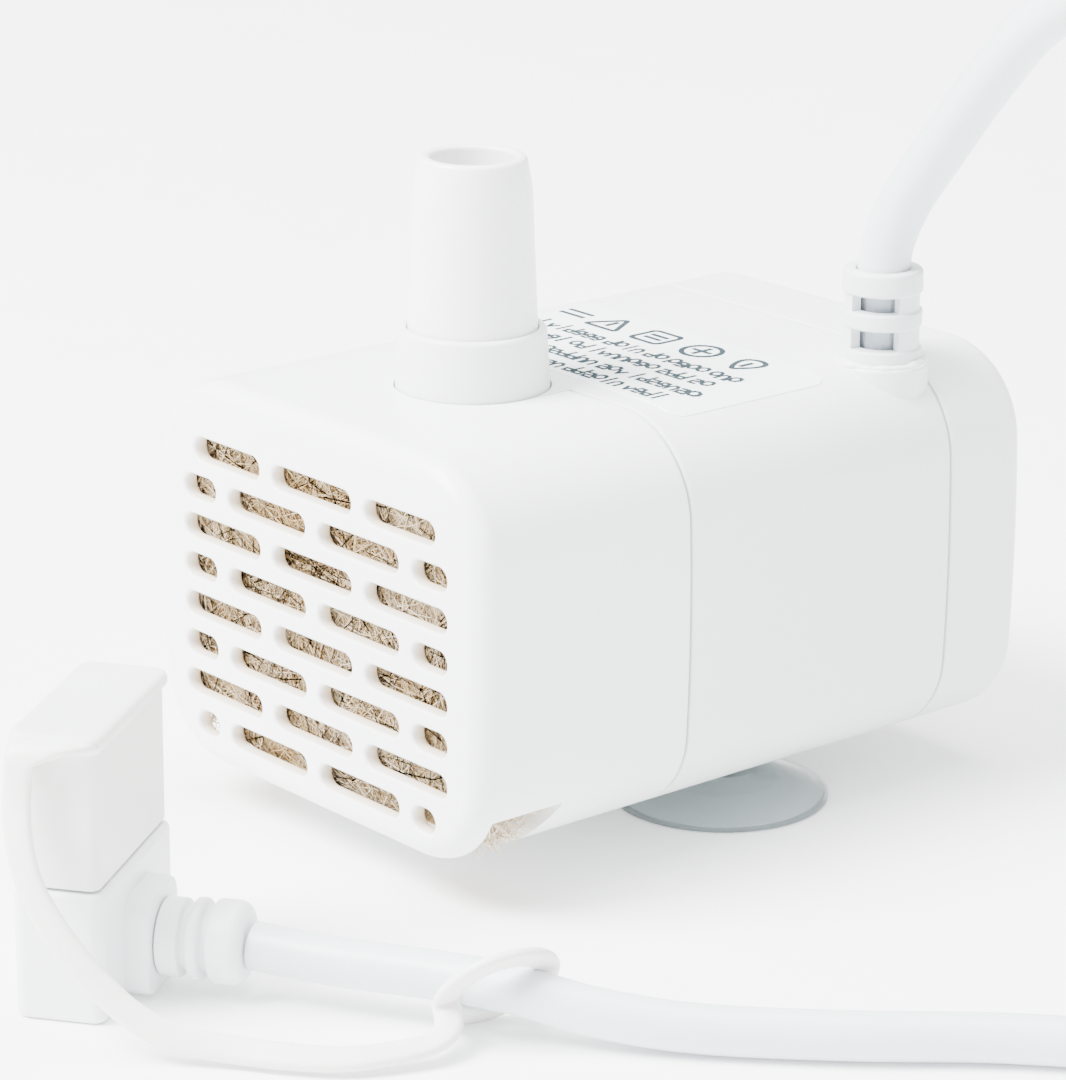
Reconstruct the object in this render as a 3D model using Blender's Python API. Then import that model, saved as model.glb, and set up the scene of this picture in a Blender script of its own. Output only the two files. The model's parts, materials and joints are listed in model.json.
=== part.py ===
"""Small USB fountain pump, built as the assembly that comes apart on a bench.

Metres, +Z up.  The origin is on the floor under the middle of the pump.  The
grille faces -Y, the cord leaves the top at the rear right, and the rotor turns
about an axis along Y at the middle of the case.
"""
import math

import bmesh
import bpy
from mathutils import Matrix, Vector

MM = 0.001

# --- driving dimensions -----------------------------------------------------
CASE_LENGTH = 55.5 * MM
CASE_WIDTH = 39.8 * MM
CASE_HEIGHT = 30.8 * MM
CASE_CORNER = 7.0 * MM
CASE_BULGE = 0.7 * MM
CASE_BASE = 3.6 * MM           # height of the case above the floor, on its cups
EDGE_ROUND = 1.8 * MM
WALL = 1.6 * MM
SEAM_GAP = 0.2 * MM

FRONT_Y = -CASE_LENGTH / 2
BACK_Y = CASE_LENGTH / 2
COVER_SEAM_Y = FRONT_Y + 20.0 * MM
REAR_SEAM_Y = FRONT_Y + 47.1 * MM
AXIS_Z = CASE_BASE + CASE_HEIGHT / 2
TOP_Z = CASE_BASE + CASE_HEIGHT

PLATE_THICK = 2.0 * MM         # front grille plate
SLOT_PITCH = 11.1 * MM
SLOT_LENGTH = 9.5 * MM
SLOT_HEIGHT = 1.85 * MM
ROW_PITCH = 3.15 * MM
ROW_COUNT = 8
GRILLE_MID_Z = 17.95 * MM
CORNER_TRIM = 1.35 * MM        # how much the corner slots lose to the rounding

LIP_OUTER = 1.75 * MM          # spigots of the housing and the rear cover
LIP_INNER = 2.45 * MM
LIP_REACH = 1.65 * MM

COLLAR_Y = FRONT_Y + 15.5 * MM
COLLAR_R = 6.1 * MM
COLLAR_TOP = TOP_Z + 5.1 * MM
SOCKET_R = 5.35 * MM
NOZZLE_TOP = TOP_Z + 18.1 * MM
NOZZLE_BASE_R = 5.05 * MM
NOZZLE_TIP_R = 4.65 * MM
NOZZLE_BORE_TIP_R = 3.6 * MM
NOZZLE_BORE_BASE_R = 3.25 * MM

VOLUTE_FRONT = -16.8 * MM
VOLUTE_BACK = -7.9 * MM
VOLUTE_R = 11.2 * MM
CHAMBER_R = 9.8 * MM
FLANGE_R = 12.5 * MM
WELL_R = 5.0 * MM
WELL_WALL = 1.1 * MM
WELL_END = 12.0 * MM
SHAFT_R = 0.75 * MM

CUP_X = 9.6 * MM
CUP_Y = 5.0 * MM
CUP_R = 8.6 * MM

LABEL_HALF_WIDTH = 15.2 * MM
LABEL_FRONT = -5.45 * MM
LABEL_BACK = 10.25 * MM

GLAND_X = 14.0 * MM
GLAND_Y = 17.0 * MM
GLAND_R = 3.15 * MM
GLAND_TOP = 41.6 * MM
CORD_R = 1.75 * MM

PLUG_X = 8.6 * MM
PLUG_Y = -53.6 * MM
PLUG_TURN = math.radians(36.0)  # turn of the plug about Z, its cord along +X before
PLUG_THICK = 6.6 * MM
PLUG_WIDE = 15.6 * MM
PLUG_HEIGHT = 9.6 * MM
BOOT_Z = 3.9 * MM
SHELL_WIDE = 12.0 * MM
SHELL_THICK = 4.5 * MM
SHELL_TOP = 20.2 * MM
CAP_TOP = 21.0 * MM

COIL_X = 72.0 * MM
COIL_Y = 26.5 * MM
COIL_INNER_R = 15.7 * MM
COIL_OUTER_R = 26.5 * MM
COIL_HEIGHT = 14.2 * MM

ROUND_SEGMENTS = 40

# --- routes that lie free, chosen by hand (metres) ---------------------------
PUMP_CORD_ROUTE = [
    (0.0140, 0.0170, 0.0412), (0.0143, 0.0172, 0.0437), (0.0156, 0.0177, 0.0471),
    (0.0185, 0.0181, 0.0513), (0.0235, 0.0180, 0.0575), (0.0295, 0.0174, 0.0632),
    (0.0365, 0.0182, 0.0668), (0.0445, 0.0220, 0.0660), (0.0520, 0.0280, 0.0585),
    (0.0575, 0.0340, 0.0460), (0.0615, 0.0388, 0.0335), (0.0655, 0.0428, 0.0235),
    (0.0700, 0.0456, 0.0170),
]
PLUG_CORD_ROUTE = [
    (0.0181, -0.0467, 0.0038), (0.0233, -0.0439, 0.0036), (0.0296, -0.0400, 0.0036),
    (0.0348, -0.0372, 0.0035), (0.0396, -0.0339, 0.0025), (0.0449, -0.0294, 0.00185),
    (0.0522, -0.0222, 0.0018), (0.0589, -0.0146, 0.0018), (0.0660, -0.0084, 0.0018),
    (0.0720, -0.0047, 0.0018), (0.0757, -0.0023, 0.0018),
]
TETHER_ROUTE = [
    (0.0116, -0.0621, 0.0202), (0.0125, -0.0627, 0.0175), (0.0138, -0.0631, 0.0136),
    (0.0152, -0.0629, 0.0108), (0.0173, -0.0619, 0.0076), (0.0192, -0.0606, 0.0050),
    (0.0214, -0.0592, 0.0030), (0.0236, -0.0575, 0.0018), (0.0263, -0.0550, 0.0012),
    (0.0296, -0.0525, 0.0011), (0.0323, -0.0499, 0.0011), (0.0339, -0.0466, 0.0012),
    (0.0346, -0.0440, 0.0014), (0.0339, -0.0422, 0.0018), (0.0324, -0.0406, 0.0023),
]
TETHER_RING_CENTRE = (0.0339, -0.0380, 0.00407)
TETHER_RING_FACING = (0.83, -0.20, -0.51)


# --- scene and materials ------------------------------------------------------
def clear_scene():
    for found in list(bpy.data.objects):
        bpy.data.objects.remove(found, do_unlink=True)


def finish(name, colour, roughness, metallic=0.0):
    """A Principled material."""
    material = bpy.data.materials.new(name)
    material.use_nodes = True
    shader = material.node_tree.nodes["Principled BSDF"]
    shader.inputs["Base Color"].default_value = (*colour, 1.0)
    shader.inputs["Roughness"].default_value = roughness
    shader.inputs["Metallic"].default_value = metallic
    return material


# --- meshes ---------------------------------------------------------------------
def mesh_of(name, points, faces):
    """A mesh with its doubles welded and its faces turned outwards."""
    mesh = bpy.data.meshes.new(name)
    mesh.from_pydata([tuple(p) for p in points], [], faces)
    work = bmesh.new()
    work.from_mesh(mesh)
    bmesh.ops.remove_doubles(work, verts=work.verts, dist=1e-7)
    bmesh.ops.recalc_face_normals(work, faces=work.faces)
    work.to_mesh(mesh)
    work.free()
    return mesh


def loft(rings, closed=False):
    """Points and faces of a skin over rings of equal size, capped unless closed."""
    count = len(rings[0])
    points = [point for ring in rings for point in ring]
    faces = []
    spans = len(rings) if closed else len(rings) - 1
    for row in range(spans):
        here, there = row * count, ((row + 1) % len(rings)) * count
        for i in range(count):
            j = (i + 1) % count
            faces.append((here + i, here + j, there + j, there + i))
    if not closed:
        faces.append(tuple(range(count)))
        faces.append(tuple(range(len(points) - count, len(points))))
    return points, faces


def joined(*shapes):
    """Several (points, faces) shapes as one."""
    points, faces = [], []
    for shape_points, shape_faces in shapes:
        offset = len(points)
        points += [Vector(p) for p in shape_points]
        faces += [tuple(offset + i for i in face) for face in shape_faces]
    return points, faces


def moved(shape, matrix):
    points, faces = shape
    return [matrix @ Vector(p) for p in points], faces


def turned(profile, axis="Z", centre=(0, 0, 0), closed=False, segments=ROUND_SEGMENTS):
    """A solid of revolution.  The profile is (radius, height) pairs along the axis."""
    rings = []
    for radius, height in profile:
        ring = []
        for i in range(segments):
            angle = 2 * math.pi * i / segments
            across, up = radius * math.cos(angle), radius * math.sin(angle)
            point = {"Z": (across, up, height), "Y": (across, height, up)}[axis]
            ring.append(Vector(centre) + Vector(point))
        rings.append(ring)
    return loft(rings, closed)


def cylinder(radius, low, high, axis="Z", centre=(0, 0, 0), segments=ROUND_SEGMENTS):
    return turned([(radius, low), (radius, high)], axis, centre, segments=segments)


def box(low, high):
    (x0, y0, z0), (x1, y1, z1) = low, high
    ring = [(x0, y0), (x1, y0), (x1, y1), (x0, y1)]
    return loft([[Vector((x, y, z)) for x, y in ring] for z in (z0, z1)])


def rounded_rectangle(half_x, half_y, radius, steps=5):
    """Outline of a rectangle with round corners, counter-clockwise."""
    outline = []
    for corner in range(4):
        sign_x = (1, -1, -1, 1)[corner]
        sign_y = (1, 1, -1, -1)[corner]
        for i in range(steps + 1):
            angle = math.pi / 2 * (corner + i / steps)
            outline.append((sign_x * (half_x - radius) + radius * math.cos(angle),
                            sign_y * (half_y - radius) + radius * math.sin(angle)))
    return outline


def case_outline(inset, side_steps=5):
    """(x, z) outline of the case: round corners, flat top and base, bowed sides."""
    half_x = CASE_WIDTH / 2 - CASE_BULGE - inset
    half_z = CASE_HEIGHT / 2 - inset
    corners = rounded_rectangle(half_x, half_z, CASE_CORNER - inset, 6)
    outline = []
    for i, (x, z) in enumerate(corners):
        outline.append((x, z))
        after = corners[(i + 1) % len(corners)]
        if abs(after[0] - x) < 1e-9:
            for step in range(1, side_steps):
                outline.append((x, z + (after[1] - z) * step / side_steps))
    half = CASE_HEIGHT / 2
    return [(x + math.copysign(CASE_BULGE * (1 - (z / half) ** 2), x), AXIS_Z + z)
            for x, z in outline]


def case_loft(stations):
    """A solid through case outlines at (y, inset) stations."""
    return loft([[Vector((x, y, z)) for x, z in case_outline(inset)]
                 for y, inset in stations])


def round_edge(edge_y, inward, steps=4):
    """Stations of a quarter round from the end face at edge_y to the full outline."""
    return [(edge_y + inward * EDGE_ROUND * (1 - math.cos(angle)),
             EDGE_ROUND * (1 - math.sin(angle)))
            for angle in (math.pi / 2 * i / steps for i in range(steps + 1))]


def plug_block(half_x, half_y, radius, levels):
    """A stack of rounded rectangles; levels are (z, inset) pairs."""
    rings = []
    for z, inset in levels:
        outline = rounded_rectangle(half_x - inset, half_y - inset, max(radius - inset, 2e-4))
        rings.append([Vector((x, y, z)) for x, y in outline])
    return loft(rings)


def prism_x(outline, low, high):
    """A (y, z) outline extruded along X."""
    return loft([[Vector((x, y, z)) for y, z in outline] for x in (low, high)])


def smooth_route(points, spacing):
    """Evenly spaced points of a Catmull-Rom curve through the route's points."""
    route = [Vector(p) for p in points]
    route = [2 * route[0] - route[1]] + route + [2 * route[-1] - route[-2]]
    fine = []
    for i in range(1, len(route) - 2):
        a, b, c, d = route[i - 1:i + 3]
        for step in range(20):
            t = step / 20
            fine.append(0.5 * (2 * b + (c - a) * t + (2 * a - 5 * b + 4 * c - d) * t ** 2
                               + (3 * b - a - 3 * c + d) * t ** 3))
    fine.append(route[-2])
    reach = [0.0]
    for before, after in zip(fine, fine[1:]):
        reach.append(reach[-1] + (after - before).length)
    count = max(2, round(reach[-1] / spacing))
    chosen, cursor = [], 0
    for i in range(count + 1):
        target = reach[-1] * i / count
        while cursor < len(fine) - 2 and reach[cursor + 1] < target:
            cursor += 1
        span = reach[cursor + 1] - reach[cursor]
        chosen.append(fine[cursor].lerp(fine[cursor + 1], (target - reach[cursor]) / span))
    return chosen


# --- objects --------------------------------------------------------------------
def place(name, mesh, material=None, parent=None):
    made = bpy.data.objects.new(name, mesh)
    bpy.context.collection.objects.link(made)
    if material:
        made.data.materials.append(material)
    if parent:
        made.parent = parent
        made.matrix_parent_inverse = parent.matrix_world.inverted()
    return made


def piece(name, shape, material, parent=None, smooth=True):
    """A named sub-part from (points, faces) given in world coordinates."""
    made = place(name, mesh_of(name, *shape), material, parent)
    if smooth:
        made.data.shade_smooth()
        made.data.set_sharp_from_angle(angle=math.radians(35))
    return made


def combine(target, label, shape, operation):
    """Joins a shape to the target, or cuts it away, with a hidden helper."""
    helper = place(f"{target.name}_{label}", mesh_of(label, *shape))
    helper.hide_render = True
    helper.display_type = "WIRE"
    modifier = target.modifiers.new(label, "BOOLEAN")
    modifier.operation = operation
    modifier.object = helper
    return helper


def add_to(target, label, shape):
    return combine(target, label, shape, "UNION")


def cut_from(target, label, shape):
    return combine(target, label, shape, "DIFFERENCE")


def hub(name, position):
    """An empty on a joint's axis, which the moving pieces hang from."""
    made = place(name, None)
    made.location = position
    bpy.context.view_layer.update()
    return made


def wire(name, route, radius, spacing, material, resolution=2):
    """A tube along a free route, as a poly curve with filled caps."""
    curve = bpy.data.curves.new(name, "CURVE")
    curve.dimensions = "3D"
    spline = curve.splines.new("POLY")
    points = smooth_route(route, spacing)
    spline.points.add(len(points) - 1)
    for point, place_at in zip(spline.points, points):
        point.co = (*place_at, 1.0)
    curve.bevel_depth = radius
    curve.bevel_resolution = resolution
    curve.use_fill_caps = True
    return place(name, curve, material)


# --- case ---------------------------------------------------------------------------
def slot(centre_x, centre_z, length):
    """One round-ended slot cutter through the grille plate."""
    half, radius = length / 2 - SLOT_HEIGHT / 2, SLOT_HEIGHT / 2
    outline = []
    for side in (1, -1):
        for i in range(7):
            angle = side * (-math.pi / 2) + math.pi * i / 6
            outline.append((centre_x + side * half + radius * math.cos(angle),
                            centre_z + radius * math.sin(angle)))
    return loft([[Vector((x, y, z)) for x, z in outline]
                 for y in (FRONT_Y - MM, FRONT_Y + PLATE_THICK + 0.4 * MM)])


def grille_slots():
    """Rows alternate between three long slots and two long with two short ones."""
    reach = SLOT_PITCH + SLOT_LENGTH / 2
    top_z = GRILLE_MID_Z + ROW_PITCH * (ROW_COUNT - 1) / 2
    slots = []
    for row in range(ROW_COUNT):
        z = top_z - row * ROW_PITCH
        trim = CORNER_TRIM if row in (0, ROW_COUNT - 1) else 0.0
        if row % 2 == 0:
            spans = [(k * SLOT_PITCH - SLOT_LENGTH / 2, k * SLOT_PITCH + SLOT_LENGTH / 2)
                     for k in (-1, 0, 1)]
        else:
            inner = SLOT_PITCH / 2 + SLOT_LENGTH / 2
            gap = SLOT_PITCH - SLOT_LENGTH
            spans = [(-reach, -inner - gap), (-inner, -gap / 2), (gap / 2, inner),
                     (inner + gap, reach)]
        spans[0] = (spans[0][0] + trim, spans[0][1])
        spans[-1] = (spans[-1][0], spans[-1][1] - trim)
        slots += [slot((low + high) / 2, z, high - low) for low, high in spans]
    return joined(*slots)


def finger_notches():
    """Undercuts behind the plate at both lower corners, for pulling the cover off."""
    outline = [(FRONT_Y + 1.9 * MM, 8.0 * MM), (FRONT_Y + 8.5 * MM, 8.0 * MM),
               (FRONT_Y + 7.0 * MM, 5.7 * MM), (FRONT_Y + 6.4 * MM, 3.0 * MM),
               (FRONT_Y + 1.9 * MM, 3.0 * MM)]
    return joined(prism_x(outline, 10 * MM, 22 * MM), prism_x(outline, -22 * MM, -10 * MM))


def collar_clearance():
    return cylinder(COLLAR_R + 0.3 * MM, TOP_Z - 3.0 * MM, TOP_Z + MM,
                    centre=(0, COLLAR_Y, 0))


def make_front_cover(material, parent):
    cover = piece("front_cover", case_loft(
        round_edge(FRONT_Y, 1)
        + [(COVER_SEAM_Y, 0), (COVER_SEAM_Y, WALL), (FRONT_Y + PLATE_THICK, WALL)]),
        material, parent)
    cut_from(cover, "slots", grille_slots())
    cut_from(cover, "notches", finger_notches())
    half = COLLAR_R + 0.3 * MM
    cut_from(cover, "collar_round", collar_clearance())
    cut_from(cover, "collar_way", box((-half, COLLAR_Y, TOP_Z - 3.0 * MM),
                                      (half, COVER_SEAM_Y + MM, TOP_Z + MM)))
    return cover


def make_filter_pad(material, parent):
    pad = piece("filter_pad", case_loft([(FRONT_Y + 2.35 * MM, 2.6 * MM),
                                         (FRONT_Y + 2.65 * MM, 2.3 * MM),
                                         (FRONT_Y + 8.9 * MM, 2.3 * MM)]), material, parent)
    return pad


def make_main_housing(material):
    front = COVER_SEAM_Y + SEAM_GAP
    back = REAR_SEAM_Y - SEAM_GAP / 2
    wall_back = front + 2.2 * MM
    housing = piece("main_housing", case_loft([
        (front, LIP_INNER), (front - LIP_REACH, LIP_INNER), (front - LIP_REACH, LIP_OUTER),
        (front, LIP_OUTER), (front, 0), (back, 0), (back, WALL), (wall_back, WALL)]), material)
    half = COLLAR_R + 0.1 * MM
    tongue = box((-half, COLLAR_Y, TOP_Z - WALL), (half, front + MM, TOP_Z))
    well = cylinder(WELL_R + WELL_WALL, front + 0.5 * MM, WELL_END, "Y", (0, 0, AXIS_Z))
    studs = [cylinder(3.6 * MM, CASE_BASE + 0.8 * MM, 6.85 * MM,
                      centre=(side * CUP_X, CUP_Y, 0), segments=24) for side in (-1, 1)]
    add_to(housing, "additions", joined(tongue, well, *studs))
    bore = turned([(WELL_R, front - 3 * MM), (WELL_R, 8.2 * MM), (2.4 * MM, 8.2 * MM),
                   (2.4 * MM, 10.9 * MM)], "Y", (0, 0, AXIS_Z))
    seal_groove = turned([(11.0 * MM, front - MM), (12.2 * MM, front - MM),
                          (12.2 * MM, front + 0.8 * MM), (11.0 * MM, front + 0.8 * MM)],
                         "Y", (0, 0, AXIS_Z), closed=True)
    lip_gate = box((-6.7 * MM, front - 3 * MM, AXIS_Z + 8 * MM),
                   (6.7 * MM, front, TOP_Z - WALL - 0.1 * MM))
    cut_from(housing, "well_bore", bore)
    cut_from(housing, "seal_groove", seal_groove)
    cut_from(housing, "lip_gate", lip_gate)
    cut_from(housing, "collar", collar_clearance())
    pockets = [turned([(1.9 * MM, 3.0 * MM), (1.9 * MM, 4.7 * MM), (2.7 * MM, 4.7 * MM),
                       (2.7 * MM, 6.45 * MM)], centre=(side * CUP_X, CUP_Y, 0), segments=24)
               for side in (-1, 1)]
    cut_from(housing, "stud_pockets", joined(*pockets))
    cut_from(housing, "gland_hole", gland_hole())
    return housing


def gland_hole():
    return cylinder(GLAND_R + 0.2 * MM, 26.0 * MM, TOP_Z + 2 * MM,
                    centre=(GLAND_X, GLAND_Y, 0), segments=32)


def make_rear_cover(material):
    front = REAR_SEAM_Y + SEAM_GAP / 2
    inner = BACK_Y - EDGE_ROUND
    cover = piece("rear_cover", case_loft(
        [(inner, LIP_INNER), (front - 2.0 * MM, LIP_INNER), (front - 2.0 * MM, LIP_OUTER),
         (front, LIP_OUTER), (front, 0)] + round_edge(BACK_Y, -1)[::-1]), material)
    cut_from(cover, "gland_hole", gland_hole())
    return cover


def make_label(material):
    outline = rounded_rectangle(LABEL_HALF_WIDTH, (LABEL_BACK - LABEL_FRONT) / 2, MM)
    middle = (LABEL_BACK + LABEL_FRONT) / 2
    low = TOP_Z + 0.05 * MM
    return piece("label", loft([[Vector((x, middle + y, z)) for x, y in outline]
                                for z in (low, low + 0.15 * MM)]), material, smooth=False)


def make_suction_cup(name, side, material):
    """A thin shallow cone on a button stem, hollow underneath."""
    rim = CUP_R / MM
    profile = [(0.0, 6.1), (1.9, 6.1), (2.4, 5.7), (2.4, 5.05), (1.6, 4.95), (1.6, 3.3),
               (2.6, 3.1), (3.2, 2.6), (5.2, 1.9), (7.2, 1.15), (rim, 0.45), (rim, 0.0),
               (rim - 0.7, 0.0), (6.8, 0.55), (4.8, 1.3), (2.2, 1.9), (0.0, 2.0)]
    return piece(name, turned([(r * MM, z * MM) for r, z in profile],
                              centre=(side * CUP_X, CUP_Y, 0)), material)


# --- pump end -----------------------------------------------------------------------
def make_pump_head(material, parent):
    """Volute plate, inlet spider and outlet collar in one moulding."""
    centre = (0, 0, AXIS_Z)
    flange_front = VOLUTE_BACK - 1.5 * MM
    chamber_front = VOLUTE_FRONT + 1.2 * MM
    head = piece("pump_head", turned(
        [(3.8 * MM, VOLUTE_FRONT), (VOLUTE_R, VOLUTE_FRONT), (VOLUTE_R, flange_front),
         (FLANGE_R, flange_front), (FLANGE_R, VOLUTE_BACK), (CHAMBER_R, VOLUTE_BACK),
         (CHAMBER_R, chamber_front), (3.8 * MM, chamber_front)], "Y", centre, closed=True),
        material, parent)
    boss = cylinder(2.5 * MM, VOLUTE_FRONT - 0.8 * MM, chamber_front + 0.7 * MM, "Y", centre,
                    segments=24)
    add_to(head, "boss", boss)
    spoke = box((2.2 * MM, VOLUTE_FRONT + 0.1 * MM, -0.5 * MM),
                (4.4 * MM, chamber_front - 0.1 * MM, 0.5 * MM))
    spokes = [moved(spoke, Matrix.Translation(centre) @ Matrix.Rotation(angle, 4, "Y"))
              for angle in (math.radians(30 + 120 * k) for k in range(3))]
    add_to(head, "spokes", joined(*spokes))
    duct = turned([(4.3 * MM, AXIS_Z + 8.5 * MM), (4.3 * MM, TOP_Z - 2.9 * MM),
                   (COLLAR_R, TOP_Z - 2.5 * MM), (COLLAR_R, COLLAR_TOP - 0.45 * MM),
                   (COLLAR_R - 0.13 * MM, COLLAR_TOP - 0.13 * MM),
                   (COLLAR_R - 0.4 * MM, COLLAR_TOP)], centre=(0, COLLAR_Y, 0))
    add_to(head, "duct", duct)
    passage = turned([(2.9 * MM, AXIS_Z + 6.0 * MM), (2.9 * MM, TOP_Z + 0.5 * MM),
                      (SOCKET_R, TOP_Z + 0.5 * MM), (SOCKET_R, COLLAR_TOP + MM)],
                     centre=(0, COLLAR_Y, 0))
    cut_from(head, "passage", passage)
    cut_from(head, "bush_seat", cylinder(1.75 * MM, VOLUTE_FRONT - 0.2 * MM,
                                         chamber_front + 2 * MM, "Y", centre, segments=24))
    return head


def make_bush(name, low, high, outer, material, parent=None):
    shape = turned([(0.82 * MM, low), (outer, low), (outer, high), (0.82 * MM, high)], "Y",
                   (0, 0, AXIS_Z), closed=True, segments=24)
    return piece(name, shape, material, parent)


def make_nozzle(material, parent):
    """The outlet stub: straight plug, slow taper, round rim, tapered bore."""
    rim = 0.5 * (NOZZLE_TIP_R - NOZZLE_BORE_TIP_R)
    rim_centre = NOZZLE_TIP_R - rim
    crown = [(rim_centre + rim * math.cos(angle), NOZZLE_TOP - rim + rim * math.sin(angle))
             for angle in (math.pi * i / 6 for i in range(7))]
    foot = TOP_Z + 0.9 * MM
    profile = [(NOZZLE_BORE_BASE_R, foot), (NOZZLE_BASE_R - 0.3 * MM, foot),
               (NOZZLE_BASE_R, foot + 0.6 * MM), (NOZZLE_BASE_R, COLLAR_TOP + 0.4 * MM),
               (NOZZLE_TIP_R + 0.12 * MM, NOZZLE_TOP - 2.6 * MM)] + crown
    return piece("outlet_nozzle", turned(profile, centre=(0, COLLAR_Y, 0), closed=True),
                 material, parent)


def make_impeller(material, parent):
    """Hub tube, rear disc and six straight blades."""
    centre = (0, 0, AXIS_Z)
    bore, core, disc = 0.85 * MM, 1.5 * MM, 8.4 * MM
    wheel = piece("impeller", turned(
        [(bore, -14.7 * MM), (2.0 * MM, -14.7 * MM), (2.0 * MM, -9.7 * MM), (disc, -9.7 * MM),
         (disc, -8.7 * MM), (core, -8.7 * MM), (core, 7.7 * MM), (bore, 7.7 * MM)], "Y",
        centre, closed=True), material, parent)
    blade = box((1.7 * MM, -14.4 * MM, -0.4 * MM), (8.1 * MM, -9.2 * MM, 0.4 * MM))
    blades = [moved(blade, Matrix.Translation(centre) @ Matrix.Rotation(angle, 4, "Y"))
              for angle in (math.radians(60 * k) for k in range(6))]
    add_to(wheel, "blades", joined(*blades))
    return wheel


def make_rotor_magnet(material, parent):
    shape = turned([(1.6 * MM, -3.6 * MM), (4.3 * MM, -3.6 * MM), (4.3 * MM, 7.4 * MM),
                    (1.6 * MM, 7.4 * MM)], "Y", (0, 0, AXIS_Z), closed=True)
    return piece("rotor_magnet", shape, material, parent)


def make_head_seal(material):
    front = COVER_SEAM_Y + SEAM_GAP
    shape = turned([(11.2 * MM, front - 0.15 * MM), (11.6 * MM, front - 0.27 * MM),
                    (12.0 * MM, front - 0.15 * MM), (12.05 * MM, front + 0.25 * MM),
                    (11.9 * MM, front + 0.6 * MM), (11.3 * MM, front + 0.6 * MM),
                    (11.15 * MM, front + 0.25 * MM)], "Y", (0, 0, AXIS_Z), closed=True)
    return piece("head_seal", shape, material)


# --- motor ---------------------------------------------------------------------------
def outline_y(outline, low, high, centre_x=0.0):
    """An (x, z) outline about the rotor axis, extruded along Y."""
    return loft([[Vector((centre_x + x, y, AXIS_Z + z)) for x, z in outline]
                 for y in (low, high)])


def make_stator_core(material):
    """Laminated window frame with two inward poles and curved pole shoes."""
    low, high = -1.5 * MM, 8.5 * MM
    core = piece("stator_core", outline_y(rounded_rectangle(16.4 * MM, 11.9 * MM, 3 * MM),
                                          low, high), material)
    window = outline_y(rounded_rectangle(13.6 * MM, 9.0 * MM, 1.5 * MM), low - MM, high + MM)
    cut_from(core, "window", window)
    poles = [box((low_x, low, AXIS_Z - 2.5 * MM), (high_x, high, AXIS_Z + 2.5 * MM))
             for low_x, high_x in ((-15 * MM, -5 * MM), (5 * MM, 15 * MM))]
    add_to(core, "poles", joined(*poles))
    add_to(core, "shoes", joined(
        box((5.2 * MM, low, AXIS_Z - 4.2 * MM), (7.7 * MM, high, AXIS_Z + 4.2 * MM)),
        box((-7.7 * MM, low, AXIS_Z - 4.2 * MM), (-5.2 * MM, high, AXIS_Z + 4.2 * MM))))
    cut_from(core, "well_clearance", cylinder(WELL_R + WELL_WALL + 0.3 * MM, low - MM,
                                              high + MM, "Y", (0, 0, AXIS_Z)))
    return core


def box_ring(low, high, hole_low, hole_high):
    """A box with a square hole along X, both given by their (y, z) corners."""
    (x0, y0, z0), (x1, y1, z1) = low, high
    (a0, b0), (a1, b1) = hole_low, hole_high
    outer = [(y0, z0), (y1, z0), (y1, z1), (y0, z1)]
    inner = [(a0, b0), (a1, b0), (a1, b1), (a0, b1)]
    rings = [[Vector((x, y, z)) for y, z in outline]
             for x, outline in ((x0, inner), (x0, outer), (x1, outer), (x1, inner))]
    return loft(rings, closed=True)


def make_coil(side, bobbin_material, winding_material):
    """One bobbin on its pole, with its copper winding."""
    name = "left" if side < 0 else "right"

    def spans(near, far):
        return sorted((side * near, side * far))

    hole = ((-1.8 * MM, AXIS_Z - 2.8 * MM), (8.8 * MM, AXIS_Z + 2.8 * MM))
    x0, x1 = spans(8.0 * MM, 13.2 * MM)
    bobbin = piece(f"coil_bobbin_{name}", box_ring(
        (x0, -2.4 * MM, AXIS_Z - 3.4 * MM), (x1, 9.4 * MM, AXIS_Z + 3.4 * MM), *hole),
        bobbin_material, smooth=False)
    flanges = []
    for near, far in ((8.0 * MM, 8.7 * MM), (12.5 * MM, 13.2 * MM)):
        f0, f1 = spans(near, far)
        flanges.append(box_ring((f0, -5.0 * MM, AXIS_Z - 6.4 * MM),
                                (f1, 12.0 * MM, AXIS_Z + 6.4 * MM), *hole))
    add_to(bobbin, "flanges", joined(*flanges))
    w0, w1 = spans(8.8 * MM, 12.4 * MM)
    winding = piece(f"coil_winding_{name}", box_ring(
        (w0, -4.8 * MM, AXIS_Z - 6.1 * MM), (w1, 11.8 * MM, AXIS_Z + 6.1 * MM),
        (-2.55 * MM, AXIS_Z - 3.55 * MM), (9.55 * MM, AXIS_Z + 3.55 * MM)),
        winding_material)
    return bobbin, winding


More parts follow.
